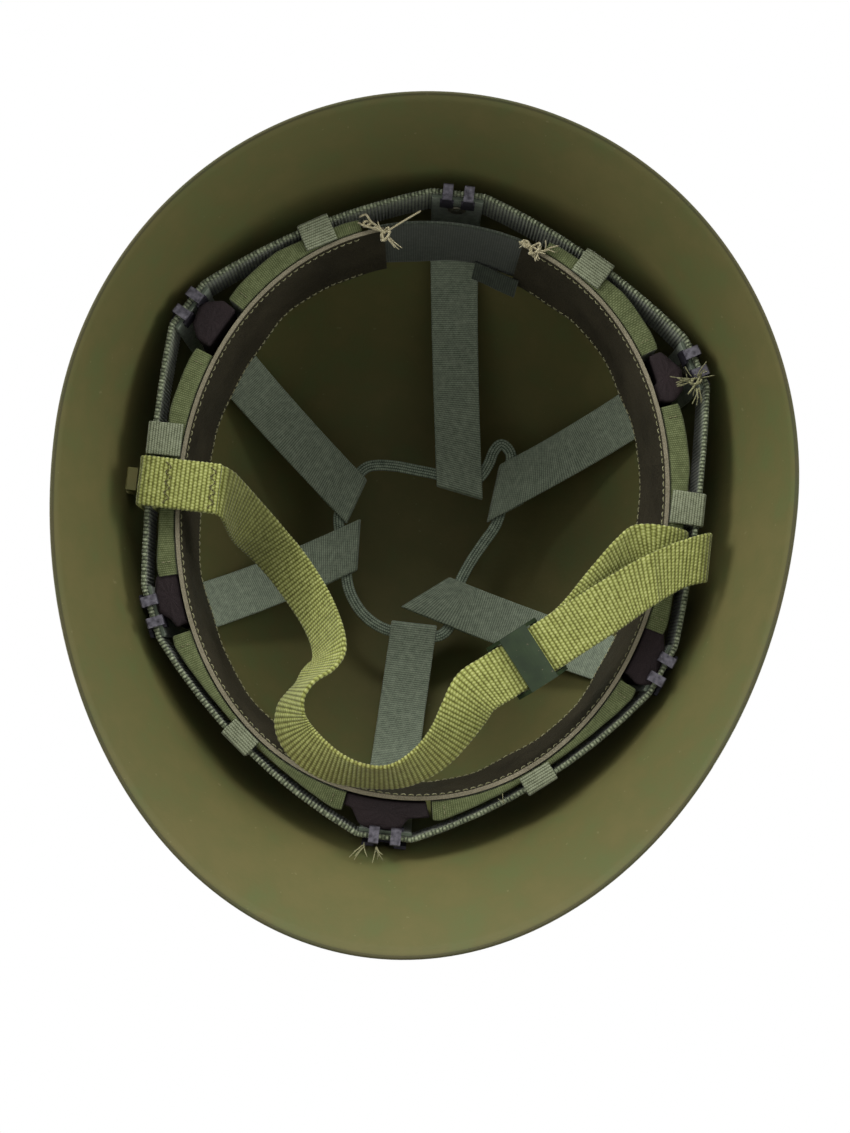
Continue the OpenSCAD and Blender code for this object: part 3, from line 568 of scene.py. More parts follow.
faces += [(len(points) - 2, (j + 1) % m, j) for j in range(m)]
faces += [(len(points) - 1, last + j, last + (j + 1) % m) for j in range(m)]
make_piece("pressed_shell", unwoven(points, faces), enamel, "helmet", "shell", 75)
print("shell", len(faces), "faces")

# %% [markdown]
# ## Blued steel hooks, eyelets and lug
# The hooks are bent from sheet steel with a dark blued finish. Bluing is thin and wears
# off where webbing and fingers rub, so the lowest faces, on the prongs, are a lighter grey.
# The CAD solids have the right shape and stay. A bevel gives their edges the small
# radius that sheared and tumbled steel has, and that catches a line of light.

# %% Materials: blued steel, rolled eyelet steel, painted lug
def worn_steel(name, dark, light, worn, low_mm, high_mm, rough):
    """Dark finish that is rubbed bright below a height, in ragged patches."""
    finish, tree, shader = new_finish(name)
    where = place(tree)
    height = add(tree, "SeparateXYZ", {0: where}).outputs[2]
    rub = ranged(tree, height, low_mm * MM, high_mm * MM, 1.0, 0.0)
    ragged = maths(tree, "MULTIPLY", rub, maths(tree, "MULTIPLY_ADD", noise(tree, where, 1.5, 4), 3.2, -0.9))
    tone = ramp(tree, noise(tree, where, 3, 4), (0.3, dark), (0.75, light))
    colour = mixed(tree, ragged, tone, worn, use_clamp=True)
    connect(tree, shader, Base_Color=colour, Metallic=0.4, Specular_IOR_Level=0.3,
            Roughness=maths(tree, "MULTIPLY_ADD", noise(tree, where, 0.8, 3), 0.25, rough),
            Normal=bump(tree, noise(tree, where, 0.7, 3), 0.04))
    return finish


def dress(name, finish):
    """Gives a solid of the frame one finish."""
    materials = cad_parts[name].data.materials
    materials.clear()
    materials.append(finish)


# Cold blue-black steel, rubbed to grey on the prongs' lowest millimetre
blued = worn_steel("blued_steel", "#222026", "#38353c", "#77747c", low_mm=32.0, high_mm=33.4, rough=0.45)
# Plain grey-brown steel that shines a little
eyelet_steel = worn_steel("rolled_eyelet_steel", "#4a493f", "#77745f", "#9a967c", low_mm=0, high_mm=1,
                          rough=0.3)
# The eyelets are rolled from thinner sheet, so their edges have less to round off
edge_radius = {"strap_eyelets": 0.12, "side_lug_left": 0.28, "strap_buckle": 0.28}
for name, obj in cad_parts.items():
    if name.startswith("hook_"):
        edge_radius[name] = 0.28
        dress(name, blued)
    if name in edge_radius:
        bevel = obj.modifiers.new("edge_radius", "BEVEL")
        bevel.width = edge_radius[name] * MM
        bevel.segments, bevel.limit_method = 2, "ANGLE"
dress("strap_eyelets", eyelet_steel)
dress("side_lug_left", enamel)
print("hooks", [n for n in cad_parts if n.startswith("hook_")])

# %% [markdown]
# ## Woven webbing
# Webbing is a thick plain weave: stout ribs cross its width, held by finer yarns that run
# along it and show as small steps on every rib. The ribs are real shape in the mesh. The
# yarns and their sheen come from the material, which reads how far along and across the
# strap each point lies, and so does painted shade: darker valleys between ribs and yarns
# and lighter crowns. Every second rib shifts the yarns by half a step.

# %% Materials: ribbed webbing and tape
def woven(name, ridge, valley, fleck_and_highlight, rib_mm, yarn_mm, depth_mm=0.12, rough=0.85, sheen=0.25,
          turned=False):
    """Rib and yarn pitch are the real ones in mm. turned swaps along and across."""
    finish, tree, shader = new_finish(name)
    thread = add(tree, "UVMap", uv_map="thread").outputs["UV"]
    sway = noise(tree, thread, 14, 2)
    parts = add(tree, "SeparateXYZ", {0: thread}).outputs
    along, over = (parts[1], parts[0]) if turned else (parts[0], parts[1])
    rib_run = maths(tree, "MULTIPLY", along, 1000 / rib_mm)
    rib = maths(tree, "MULTIPLY", maths(tree, "PINGPONG", rib_run, 0.5), 2)
    shift = maths(tree, "MULTIPLY", maths(tree, "FLOOR", rib_run), 0.5)
    yarn_run = maths(tree, "MULTIPLY_ADD", over, 1000 / yarn_mm, shift)
    yarn = maths(tree, "MULTIPLY", maths(tree, "PINGPONG", yarn_run, 0.5), 2)
    crowned = maths(tree, "POWER", rib, 0.6)
    lie = maths(tree, "MULTIPLY", crowned, maths(tree, "MULTIPLY_ADD", yarn, 0.55, 0.45))
    fibre = noise(tree, thread, 0.5, 3)
    uneven = noise(tree, thread, 2.2, 3, 0.65)
    strands = maths(tree, "ADD", maths(tree, "MULTIPLY_ADD", fibre, 0.5, -0.25),
                    maths(tree, "MULTIPLY_ADD", uneven, 0.9, -0.45))
    shade = maths(tree, "ADD", lie, strands)
    # The valleys between ribs and yarns are painted darker as shade, and the crowns lighter as painted
    # highlight, over random strands
    tone = ramp(tree, shade, (0.12, valley), (0.55, ridge), (0.95, fleck_and_highlight))
    fade = add(tree, "HueSaturation", {"Color": tone, "Value": maths(tree, "MULTIPLY_ADD", sway, 0.36, 0.82),
                                       "Saturation": 1.0}).outputs[0]
    connect(tree, shader, Base_Color=fade, Roughness=rough, Sheen_Weight=sheen, Sheen_Roughness=0.45,
            Specular_IOR_Level=0.25,
            Normal=bump(tree, maths(tree, "ADD", lie, maths(tree, "MULTIPLY", fibre, 0.3)), depth_mm))
    return finish


# Stout ribs with pale tops and nearly black valleys, painted as highlight and shade, so that the edge looks
# beaded
band_webbing = woven("grey_green_cotton_webbing", "#737b60", "#24281b", "#a0a78b", rib_mm=1.3, yarn_mm=0.9)
# Fresher cotton that was never painted or soiled as much, in a bright yellow green
chin_webbing = woven("yellow_green_cotton_webbing", "#90964e", "#55551f", "#b4b776", rib_mm=1.45,
                     yarn_mm=1.15, depth_mm=0.2)
# A flat, pale tape with shallow ribs, the lightest cloth in the liner
keeper_tape = woven("pale_grey_green_tape", "#858b70", "#484d38", "#929880", rib_mm=0.95, yarn_mm=0.8,
                    depth_mm=0.06)
print("webbing", [m.name for m in bpy.data.materials if "webbing" in m.name])

# %% [markdown]
# ## The support band
# One closed loop of webbing on edge, which hangs in the six hooks, so it runs straight
# at each hook and bows between them. It is swept along the CAD line with its width
# upright. Its cut-looking lower edge is the selvedge, a row of yarn loops, and the ribs
# thin it between them, which gives that row its beaded look.

# %% Support band
band_step = 0.32
line = evenly(lifted(band_line), band_step, closed=True)
for _ in range(14):
    line = settle(line)
out = outward(line)
run = lengths(line)
total = run[-1] + band_step
pitch = total / round(total / 1.3)
band_outline = ribbed(strap_outline(band_w, band_t, 8), run, pitch, 0.34, 0.03)
line[:, 2] = band_mid_z + 0.25 * np.sin(run / total * 2 * math.pi * 9)
make_piece("support_band_webbing", sweep(line, (0, 0, 1), out, band_outline, closed=True), band_webbing,
           "helmet", "support_band", 60)
print("band", round(total), "mm round, ribs every", round(pitch, 3), "mm")

# %% [markdown]
# ## Crown straps and their drawcord
# The straps are thin linen tape, whose ribs are finer than a webbing's. Each one rises
# from the band, arches to the crown and is folded round the drawcord. A cloth simulation
# could let them sag, but a tight strap hardly does, so each is swept along its arch, with
# a slight cup across its width.

# %% Materials: linen tape, linen darkened as painted shade, braided cotton
# Dull linen whose fine ribs only just show, greyer and greener than the cotton
linen_weave = {"rib_mm": 0.9, "yarn_mm": 0.62, "depth_mm": 0.05, "sheen": 0.2}
linen = woven("grey_green_linen_tape", "#848f7a", "#5a6354", "#a6b099", **linen_weave)
# The same linen, painted darker as shade, for the tape at the rear of the head
shaded_linen = woven("shaded_linen_tape", "#383e34", "#262b23", "#4e5547", **linen_weave)
# A braid whose strands run along the cord, each with a light edge that is painted highlight
cord_cotton = woven("grey_green_braided_cotton", "#7c8974", "#333d33", "#a3ae98", rib_mm=1.15, yarn_mm=0.9,
                    rough=0.75, sheen=0.3, turned=True)

# %% Crown straps
# For each strap: the middle of its fold on the cord, the way that the cord runs through the
# fold, the way that the cut tip runs, and how far the tip stands off
ring_mid = np.array([[-2, -34.4], [28.4, -3], [30.8, 20], [-14, 30], [-33, 30], [-16.8, -20.2]], float)
ring_way = np.radians([180, -93, -72, 10, 96, 100])
tip_way = np.radians([180, -93, -72, 10, 96, 142])
loose = [0, 0, 0, 0, 0, 8]
places = ["front", "front_left", "rear_left", "rear", "rear_right", "front_right"]
cord_z, cord_half_w, cord_half_t = 127.0, 2.3, 1.1
crown_w, crown_t, arch_z = 18.8, 1.1, 51
off_band, off_cord, play, lap = 1.7, 2.0, 3.8, 17


def crown_strap(i):
    """Stands on the band, arches up and twists to the cord, and folds back over it."""
    low, high = cord_z - off_cord, cord_z + off_cord
    root = hook_mid[i] - hook_out[i] * off_band
    way = np.array([math.cos(ring_way[i]), math.sin(ring_way[i])])
    to_ring = unit(ring_mid[i] - root)
    side = np.array([-to_ring[1], to_ring[0]]) * (-1 if to_ring @ hook_out[i] < 0 else 1)
    tip = np.array([math.cos(tip_way[i]), math.sin(tip_way[i])])
    slant, tip_slant = way / (way @ side), tip / (tip @ side)
    grip = play / abs(to_ring @ np.array([-way[1], way[0]]))
    tip_in, reach = grip + loose[i], np.linalg.norm(root - ring_mid[i])
    rows = [[*root, z, *lifted(hook_side[i]), *lifted(-hook_out[i])] for z in (36, 40, 44, 48)]
    for s in np.radians(np.arange(0, 86, 3.0)):
        p = ring_mid[i] + (root - ring_mid[i]) * math.cos(s)
        z = arch_z + (low - arch_z) * math.sin(s)
        fwd = unit([*(to_ring * reach * math.sin(s)), (low - arch_z) * math.cos(s)])
        k = min(1.0, math.degrees(s) / 34)
        a = lifted(hook_side[i]) * (1 - k) + lifted(side) * k
        late = max(0.0, (math.degrees(s) - 60) / 25)
        a = a * (1 - late) + lifted(slant) * late
        rows.append([*p, z, *a, *unit(np.cross(fwd, lifted(side)))])
    for a in np.radians(np.arange(0, 181, 22.5)):
        p = ring_mid[i] + to_ring * (tip_in - off_cord / 2 + off_cord * math.sin(a) / 2)
        rows.append([*p, cord_z - off_cord * math.cos(a), *lifted(tip_slant),
                     to_ring[0] * math.sin(a), to_ring[1] * math.sin(a), -math.cos(a)])
    back = ring_mid[i] + to_ring * (grip - lap)
    rows.append([*back, high, *lifted(slant), 0, 0, 1])
    rows = evenly(np.array(rows), 0.9)
    path, over, up = rows[:, :3], rows[:, 3:6], unit(rows[:, 6:9])
    outline = strap_outline(crown_w, crown_t, 14)
    sideways = outline[:, 0] / (crown_w / 2)
    flutter = np.sin(lengths(path) / 17 + i) * 0.25
    shape = np.repeat(outline[None], len(path), 0)
    settled = np.clip((path[:, 2] - 56) / 20, 0, 1) * np.clip((cord_z - 6 - path[:, 2]) / 6, 0, 1)
    shape[..., 1] += settled[:, None] * (flutter[:, None] * sideways - 0.35 * sideways ** 2)
    return sweep(path, over, up, shape)


for i, name in enumerate(places):
    make_piece("linen_strap_" + name, crown_strap(i), linen, "helmet", "crown_strap_" + name)
print("strap fold at", cord_z, "mm")

# %% Drawcord
route = np.array([[28.4, -12], [26, -20], [20.4, -27.8], [12.5, -33], [3, -35], [-9, -35], [-14.4, -33.2],
                  [-17.2, -28], [-17.4, -20], [-19, -11], [-22.6, -2], [-26.8, 6], [-30.8, 13.4],
                  [-32.6, 21], [-33.4, 30], [-34.4, 41], [-33.4, 45.5], [-29.8, 48], [-27, 45],
                  [-25.2, 38.8], [-22, 33], [-17, 30.6], [-12, 30.8], [-4, 32.4], [5, 33.2],
                  [13, 33.8], [20.5, 33.4], [25.4, 31.6], [28.7, 27.2], [30.5, 22.4], [32.8, 16],
                  [34, 10.4], [33, 4.4], [30.8, -0.6], [29.2, -5]])
line = evenly(lifted(smooth(route, 10, closed=True), cord_z), 0.6, closed=True)
angle = np.radians(np.arange(0, 360, 9))
strand = 0.80 + 0.20 * np.abs(np.cos(2.0 * math.pi * np.cos(angle)))
rounded = np.sign(np.sin(angle)) * np.abs(np.sin(angle)) ** 0.7
cord_outline = np.stack([cord_half_w * np.cos(angle), cord_half_t * rounded * strand], 1)
make_piece("braided_drawcord", sweep(line, outward(line), (0, 0, 1), cord_outline, closed=True), cord_cotton,
           "helmet", "crown_drawcord", 70)
print("drawcord", round(lengths(line)[-1]), "mm round")

# %% [markdown]
# ## Leather, thread and canvas
# The sweatband is dark chrome-tanned leather. Its grain is a net of small cells under a
# satin finish, and where a knife cut it the paler inside shows. The sleeves behind it
# are plain-woven cotton canvas, whose weave is three quarters of a millimetre wide and
# only just shows. The pads are a smoother, firmer leather in maroon brown.

# %% Materials: tanned leather, cut leather, pad leather, canvas, thread
def leather(name, dark, light, grain_mm, rough, crease_mm):
    """Grain cells and creases at their real sizes, over lighter and darker rubbed patches."""
    finish, tree, shader = new_finish(name)
    where = place(tree)
    cells = add(tree, "TexVoronoi", {"Vector": where, "Scale": 1000 / grain_mm}, feature="DISTANCE_TO_EDGE")
    grain = maths(tree, "MINIMUM", maths(tree, "MULTIPLY", cells.outputs["Distance"], 4.0), 1.0)
    creases = noise(tree, where, crease_mm, 4, 0.6)
    rubbed = noise(tree, where, 18, 3)
    tone = ramp(tree, maths(tree, "MULTIPLY_ADD", grain, 0.35, maths(tree, "MULTIPLY", rubbed, 0.8)),
                (0.25, dark), (0.9, light))
    connect(tree, shader, Base_Color=tone, Roughness=maths(tree, "MULTIPLY_ADD", rubbed, 0.3, rough - 0.1),
            Specular_IOR_Level=0.2, Normal=bump(tree, grain, 0.05, bump(tree, creases, 0.5)))
    return finish


# Dark brown with a satin sheen, for the faces
tanned = leather("tanned_leather", "#24211a", "#3e392b", grain_mm=0.9, rough=0.55, crease_mm=5)
# Pale and dry, for the line that the knife left
cut_edge = leather("cut_leather_edge", "#6d6752", "#97907a", grain_mm=0.6, rough=0.8, crease_mm=2)
# Nearly black with a hint of red, for five dark spots round the rim of the liner
pad_leather = leather("maroon_pad_leather", "#1c1617", "#2d2425", grain_mm=0.7, rough=0.75, crease_mm=6)
# Even and dry, the greenest cloth beside the leather
canvas = woven("olive_cotton_canvas", "#5f6742", "#434a2b", "#7b825c", rib_mm=0.75, yarn_mm=0.7,
               depth_mm=0.05, rough=0.9, sheen=0.15)
# Threads in three colours: pale olive on the leather, brown on the strap, cream for the lacing
twist = {"rib_mm": 0.5, "yarn_mm": 0.5, "depth_mm": 0.03, "rough": 0.7, "sheen": 0.3}
stitch_thread = woven("olive_linen_thread", "#8c8a63", "#5c5a3c", "#a9a67f", **twist)
seam_thread = woven("brown_cotton_thread", "#5f5a2c", "#3d3a1a", "#7d773f", **twist)
cream_thread = woven("cream_linen_thread", "#b7ae8a", "#7b7350", "#d8d2b4", **twist)

# %% [markdown]
# ## The sweatband
# A strip of leather on edge, open at the rear, that leans in a little towards the
# crown. It is swept round the head curve, and its upper edge wanders as old leather
# does. The cut edge is a material of its own on the faces that the knife made.

# %% Sweatband
gap_t = head_angle(25)
stations = np.arange(300)
turns = np.linspace(math.pi - gap_t, 2 * math.pi + gap_t, len(stations))
wander = 0.7 * np.sin(turns * 5.3 + 1) + 0.5 * np.sin(turns * 11.7) + 0.25 * np.sin(turns * 23.1 + 2)
levels = leather_z + np.array([0, 0.25, 1, 3, 7, 12, 17, 22, 27, 32, 36, 38.6, 39.6, 40])
# Waves and wrinkles fade over the last 14 stations at both ends
end_fade = np.clip(np.minimum(stations, stations[::-1]) / 14, 0, 1)


def leather_at(t, d, z):
    """The leather's inner face at height z, moved out by d."""
    k = (z - leather_z) / leather_h
    ripple = k ** 2 * wander * 0.9 * end_fade
    wrinkle = 0.22 * np.sin(t * 61 + 3 * np.sin(z * 0.3)) * np.sin(k * math.pi) * end_fade
    p = head(t, d + lean(z) + ripple + wrinkle)
    return np.c_[p, z + k ** 3 * 0.9 * np.sin(t * 7.9) * end_fade]


front = [leather_at(turns, 0.0, z) for z in levels]
back = [leather_at(turns, leather_t, z) for z in levels]
for i in (0, -1):
    # The knife's edges are drawn in a little, to each other
    near, far = front[i][:, :2].copy(), back[i][:, :2].copy()
    front[i][:, :2], back[i][:, :2] = near * 0.94 + far * 0.06, far * 0.94 + near * 0.06
rings = np.stack(front + back[::-1], 1)
n, k = rings.shape[:2]
faces = wrapped(rings)
band = make_piece("leather_sweatband", unwoven(rings.reshape(-1, 3), faces), [tanned, cut_edge], "helmet",
                  "sweatband", 40)
cuts = {k - 1, 0, k - 2, len(levels) - 1}
for number, face in enumerate(band.data.polygons):
    face.material_index = 1 if number >= (n - 1) * k or number % k in cuts else 0
print("sweatband", len(faces), "faces")

# %% [markdown]
# ## Stitches
# Two rows of saddle stitches hold the sleeves to the leather, one by each edge. Every
# stitch is a small tapered thread that lies on the leather and dips in at both ends.
# They are one mesh, as hundreds of objects would only slow the scene down.

# %% Stitches of the sweatband
def stitch_row(points, normals, length, radius, pitch, lift=0.25):
    """Stitches along a line on a surface, whose normals are one for each point or one for all."""
    parts, run, normals = [], lengths(points), np.broadcast_to(normals, points.shape)
    for start in np.arange(pitch / 2, run[-1] - pitch, pitch):
        at = [start, start + length * 0.25, start + length * 0.5, start + length * 0.75, start + length]
        p = np.stack([np.interp(at, run, c) for c in points.T], 1)
        q = np.stack([np.interp(at, run, c) for c in normals.T], 1)
        rise = np.array([-0.2, 0.7, 1, 0.7, -0.2])[:, None] * lift
        parts.append(thread_sweep(p + unit(q) * rise, q, radius, 5, np.array([0.6, 1, 1.05, 1, 0.6])))
    return parts


inward = lifted(-unit(head(turns, 1.0) - head(turns, 0.0)))
rows = []
for z in (leather_z + 2.4, leather_z + 38):
    rows += stitch_row(leather_at(turns, -0.02, z)[4:-4], inward[4:-4], 1.9, 0.24, 2.75)
make_piece("sweatband_stitches", joined(rows), stitch_thread, "helmet", None, 80)
print("stitches", len(rows))

# %% [markdown]
# ## Canvas sleeves
# Each sleeve is a flat tube of canvas with a little wadding, sewn to the outside of the
# leather between two pads. Its thickness is what the band and the pads leave. The
# section is swept round the head curve, rounder where there is room, and swells
# slightly between its ends, where a row of stitches gathers it.

# %% Sleeves
def inside_band(p, face):
    """How far points lie inside the band's line, moved in by face."""
    a, step = band_line, np.roll(band_line, -1, 0) - band_line
    from_a = p[..., None, :] - a
    k = np.clip(np.sum(from_a * step, -1) / np.maximum(np.sum(step * step, -1), 1e-9), 0, 1)
    return np.linalg.norm(from_a - k[..., None] * step, axis=-1).min(-1) - face


def clear_of_pads(t):
    """Whether no pad stands beside the leather at angle t, within 34 mm of its hook."""
    return all(abs((s - m) @ side) > half or (s - m) @ out < -34
               for m, side, out, half in pad_ends for s in (head(t, 1.8), head(t, 7.0)))


def sleeve(a, b, face, most=7.2, low=34.4, high=68.2):
    """A flat tube from angle a to b, as thick as the room beside the leather lets it be."""
    ts = np.array([t for t in np.radians(np.arange(a, b + 0.01, 0.5)) if clear_of_pads(t)])
    base, tip = head(ts, 1.9), head(ts, 2.9)
    out = unit(tip - base)
    tries = np.arange(0.5, 8, 0.1)
    free = inside_band(base[:, None] + out[:, None] * (tries + 0.2)[:, None], face) > 0
    room = tries[np.argmin(np.c_[free, np.zeros(len(base), bool)], 1).clip(max=len(tries) - 1)]
    room = np.convolve(np.pad(room, 2, mode="edge"), np.ones(5) / 5, "valid")
    path = lifted(base)
    run = lengths(path)
    puff = np.clip(np.minimum(run, run[-1] - run) / 5, 0, 1) ** 0.5
    rings = []
    for d, k, r in zip(room, puff, run):
        d = max(1.6, min(d, most) * (0.95 + 0.05 * k))
        soft = min(0.8, d / 2.1)
        z0, z1 = low + 0.25 * (1 - k) + 0.12 * math.sin(r * 0.5), high
        pts = []
        for cx, cz, a0 in ((d - soft, z0 + soft, -90), (d - soft, z1 - soft, 0), (soft, z1 - soft, 90),
                           (soft, z0 + soft, 180)):
            for ang in np.radians(np.linspace(a0, a0 + 90, 5)):
                pts.append((cx + soft * math.cos(ang), cz + soft * math.sin(ang)))
        pts = np.array(pts)
        belly = np.sin(np.clip((pts[:, 1] - z0) / (z1 - z0), 0, 1) * math.pi)
        pts[:, 0] += np.where(pts[:, 0] > d / 2, -0.25 * (1 - k) + 0.15 * belly * math.sin(r * 0.22), 0)
        rings.append(pts)
    points, faces, thread = sweep(path, lifted(out), (0, 0, 1), np.array(rings))
    # The weave runs on round the section, and over the ends as they lie
    around = lengths(np.vstack([rings[0], rings[0][:1]]))
    k, at = len(rings[0]), 0
    for face_points in faces:
        if len(face_points) == 4:
            a0 = face_points[0] % k
            thread[at:at + 4, 1] = around[[a0, a0 + 1, a0 + 1, a0]]
        else:
            thread[at:at + len(face_points)] = points[face_points][:, [0, 2]]
        at += len(face_points)
    return (points, faces, thread), path, out, room


# The front pad reaches 14.6 mm to each side of its hook, the others 9.6 mm. The rear has none
pad_ends = [(hook_mid[i], hook_side[i], hook_out[i], half)
            for i, half in ((0, 14.6), (1, 9.6), (2, 9.6), (4, 9.6), (5, 9.6))]
stitches = []
# Each spans some degrees round the head, and stays clear of the band's line or of the strap's loop
spans = [("front_left", -84, -30, 2.8), ("left", -20, 28, 4.2), ("rear_left", 36, 69, 2.8),
         ("rear_right", 111, 144, 2.8), ("right", 152, 200, 4.2), ("front_right", 210, 264, 2.8)]
for name, a, b, face in spans:
    solid, path, out, room = sleeve(a, b, face)
    piece = make_piece("canvas_sleeve_" + name, solid, canvas, "helmet", "sleeve_" + name, 60)
    for at in (5, len(path) - 6):
        ends = np.array([[*(path[at, :2] + out[at] * d), 34.42] for d in (0.9, room[at] - 0.9)])
        ends = evenly(ends, 0.5)
        stitches += stitch_row(ends, (0, 0, -1.0), 1.3, 0.16, 1.9, 0.12)
make_piece("sleeve_stitches", joined(stitches), stitch_thread, "helmet", None, 80)
print("sleeves done,", len(stitches), "end stitches")

# %% [markdown]
# ## Corner pads
# Five pads of padded leather fill the corners between the sweatband and the hooks. From
# below each is a flat face with cut corners. Its outline is rounded off, lofted
# upwards, and swollen a little by moving its points, as a firm filling does.

# %% Pads
whole_turn = np.linspace(0, 2 * math.pi, 1441)
fine_head = head(whole_turn)
fine_out = unit(head(whole_turn, 1.0) - fine_head)


def beside_leather(p, gap, reach=3.6):
    """Moves points that are near the leather to a set gap from the head curve."""
    moved = p.copy()
    for i, q in enumerate(p):
        j = np.argmin(np.linalg.norm(fine_head - q, axis=1))
        d = (q - fine_head[j]) @ fine_out[j]
        if d < reach:
            moved[i] = fine_head[j] + fine_out[j] * gap
    return moved


def spread(outline):
    """Points 0.6 mm apart along a flat, closed outline."""
    return evenly(lifted(outline), 0.6, closed=True)[:, :2]


def pad(corners, z0=35.5, z1=61.4):
    """A padded block between two heights, over an outline with these corners."""
    outline = settle(settle(spread(np.array(corners, float))))
    # Points that were moved to the same place are spread again, so each has a direction
    outline = spread(beside_leather(outline, 2.1))
    area = np.sum(outline[:, 0] * np.roll(outline[:, 1], -1) - outline[:, 1] * np.roll(outline[:, 0], -1))
    outline = outline if area > 0 else outline[::-1]
    middle = outline.mean(0)
    ahead = onward(outline)
    inwards = unit(np.stack([-ahead[:, 1], ahead[:, 0]], 1))
    rings, count = [], np.arange(len(outline))
    # The lower face bulges and is crumpled between its middle and its edge
    for s in (0.12, 0.3, 0.5, 0.7, 0.84):
        crumple = 0.10 * np.sin(count * 0.37 + 9 * s) + 0.08 * np.sin(count * 0.83)
        z = z0 - 0.35 * (1 - s * s) + crumple * (1 - s) * s * 3
        rings.append(np.c_[middle + (outline - middle) * s, z])
    # Then come a rounded edge, sides that are pinched halfway up, and the upper edge
    steps = [(0.9, z0), (0.4, z0 + 0.15), (0.1, z0 + 0.5), (0.0, z0 + 1.2)]
    steps += [(0.35 * math.sin((z - z0) / (z1 - z0) * math.pi), z) for z in np.linspace(z0 + 4, z1 - 3, 6)]
    steps += [(0.2, z1 - 0.8), (0.7, z1 - 0.2), (2.2, z1)]
    for inset, z in steps:
        rings.append(lifted(outline + inwards * inset, z))
    return unwoven(np.vstack(rings), wrapped(rings))


pads = {
    "front": [(15.1, -94.4), (15.6, -100.6), (12.9, -100.9), (9.7, -106.4), (6.6, -107.4), (-3.4, -107.4),
              (-5.6, -106), (-7.4, -102.8), (-15.2, -101.6), (-12.1, -94.5), (2, -95.5)],
    "front_left": [(88.5, -24.6), (82.6, -23.9), (76.8, -41.8), (81.2, -45.4), (84.1, -42.6), (88.6, -41.2),
                   (90.6, -36.0), (91.2, -28.9)],
    "rear_left": [(85.8, 72.2), (79.4, 73.4), (74.6, 70.2), (82.5, 55.9), (87.4, 58.4), (89.6, 63.6),
                  (88.0, 70.1)],
    "rear_right": [(-74.6, 71.0), (-79.0, 73.2), (-87.2, 67.6), (-88.5, 60.1), (-85.6, 55.4), (-81.6, 54.8)],
    "front_right": [(-83.6, -25.0), (-90.3, -27.2), (-91.5, -36.0), (-88.0, -46.6), (-82.6, -46.9),
                    (-77.2, -42.3)]}
for name, corners in pads.items():
    piece = make_piece("leather_pad_" + name, pad(corners), pad_leather, "helmet", "spacer_pad_" + name,
                       70)
print("pads", len(pads))

# %% [markdown]
# ## Keepers, rear tape and lacing
# Six short loops of tape tie the sleeves to the band. The gap at the rear of the leather
# is closed by a broad linen tape, tied at both ends with cream thread whose frayed tails
# stick out. Thread is drawn as thin tubes through a few points each.

# %% Keepers
def outside_head(p, grow):
    """Whether a point lies outside the head curve, grown by some mm."""
    ry = (head_rear if p[1] > head_at else head_front) + grow
    return (abs(p[0]) / (head_half + grow)) ** head_full + (abs(p[1] - head_at) / ry) ** head_full > 1


keeper_at = [0.54, 0.56, 0.5, 0.53, 0.475, 0.5]
sides = ["front_left", "left", "rear_left", "rear_right", "right", "front_right"]
tape = strap_outline(11.8, 0.9, 8)
for i, name in enumerate(sides):
    mid, out = span_point(i, keeper_at[i]), span_out(i, keeper_at[i])
    side = np.array([-out[1], out[0]])
    # From the leather under the sleeve, round the band and down again: how far out, and how high
    reach = max([d for d in np.arange(2, 24, 0.25) if outside_head(mid - out * d, 1.9)] + [2.6])
    profile = [(-reach, 33.25), (-reach + 1.2, 33.2), (-reach * 0.5, 33.1), (-0.6, 33.2), (1.2, 33.3),
               (1.8, 34.2), (1.85, 38), (1.9, 44), (1.85, 50), (1.8, 53.6), (1.2, 54.7), (0, 54.9),
               (-1.2, 54.7), (-1.8, 53.6), (-1.85, 48), (-1.85, 42), (-1.85, 36), (-1.9, 34.6)]
    flat = evenly(lifted(smooth(np.array(profile), 6)), 0.24)
    path = np.c_[mid + out * flat[:, :1], flat[:, 1]]
    step = unit(np.gradient(path, axis=0))
    over = lifted(side)
    run = lengths(path)
    shape = ribbed(tape, run, 0.95, 0.22)
    shape[..., 1] += 0.15 * np.sin(run / 2.1)[:, None] * (tape[:, 0] / 6)
    make_piece("tape_keeper_" + name, sweep(path, over, np.cross(step, over), shape), keeper_tape, "helmet",
               "keeper_" + name, 60)
print("keepers", len(sides))

# %% Rear tape
lap_t, tape_z = head_angle(30), 53.0
ts = np.linspace(lap_t, math.pi - lap_t, 160)
middle, tip = head(ts, 2.4 + lean(tape_z)), head(ts, 3.4 + lean(tape_z))
out = unit(tip - middle)
path = lifted(middle, tape_z)
run = lengths(path)
over = np.c_[out * -0.075, np.ones(len(ts))]
shape = np.repeat(strap_outline(36, 1.1, 26)[None], len(ts), 0)
# Its upper part isn't pulled tight and falls inwards in a slow wave
high_up = np.clip((shape[..., 0] + 6) / 24, 0, 1)
wave = (1.2 + 1.1 * np.sin(run / 9 + 0.5)) * np.sin(np.pi * run / run[-1])
shape[..., 1] -= high_up ** 2 * wave[:, None]
rear_tape = sweep(path, over, lifted(out), shape)
tail_rows = smooth([[-9, 104.2, 69.5], [-14, 103.0, 70.4], [-20, 100.8, 70.2], [-26, 98.6, 69.0]], 16)
tail_ahead = unit(np.gradient(tail_rows, axis=0))
tail_over = unit(np.array([0.1, -0.62, 0.78]))
tail = sweep(tail_rows, tail_over, unit(np.cross(tail_ahead, tail_over)), strap_outline(8, 0.9, 8), start=40)
# The rear tape's linen is painted darker, as shade
make_piece("linen_rear_tape", joined([rear_tape, tail]), shaded_linen, "helmet", "rear_tape",
           60)
print("rear tape", round(run[-1]), "mm")

# %% Rear lacing and loose threads
rng = np.random.default_rng(7)


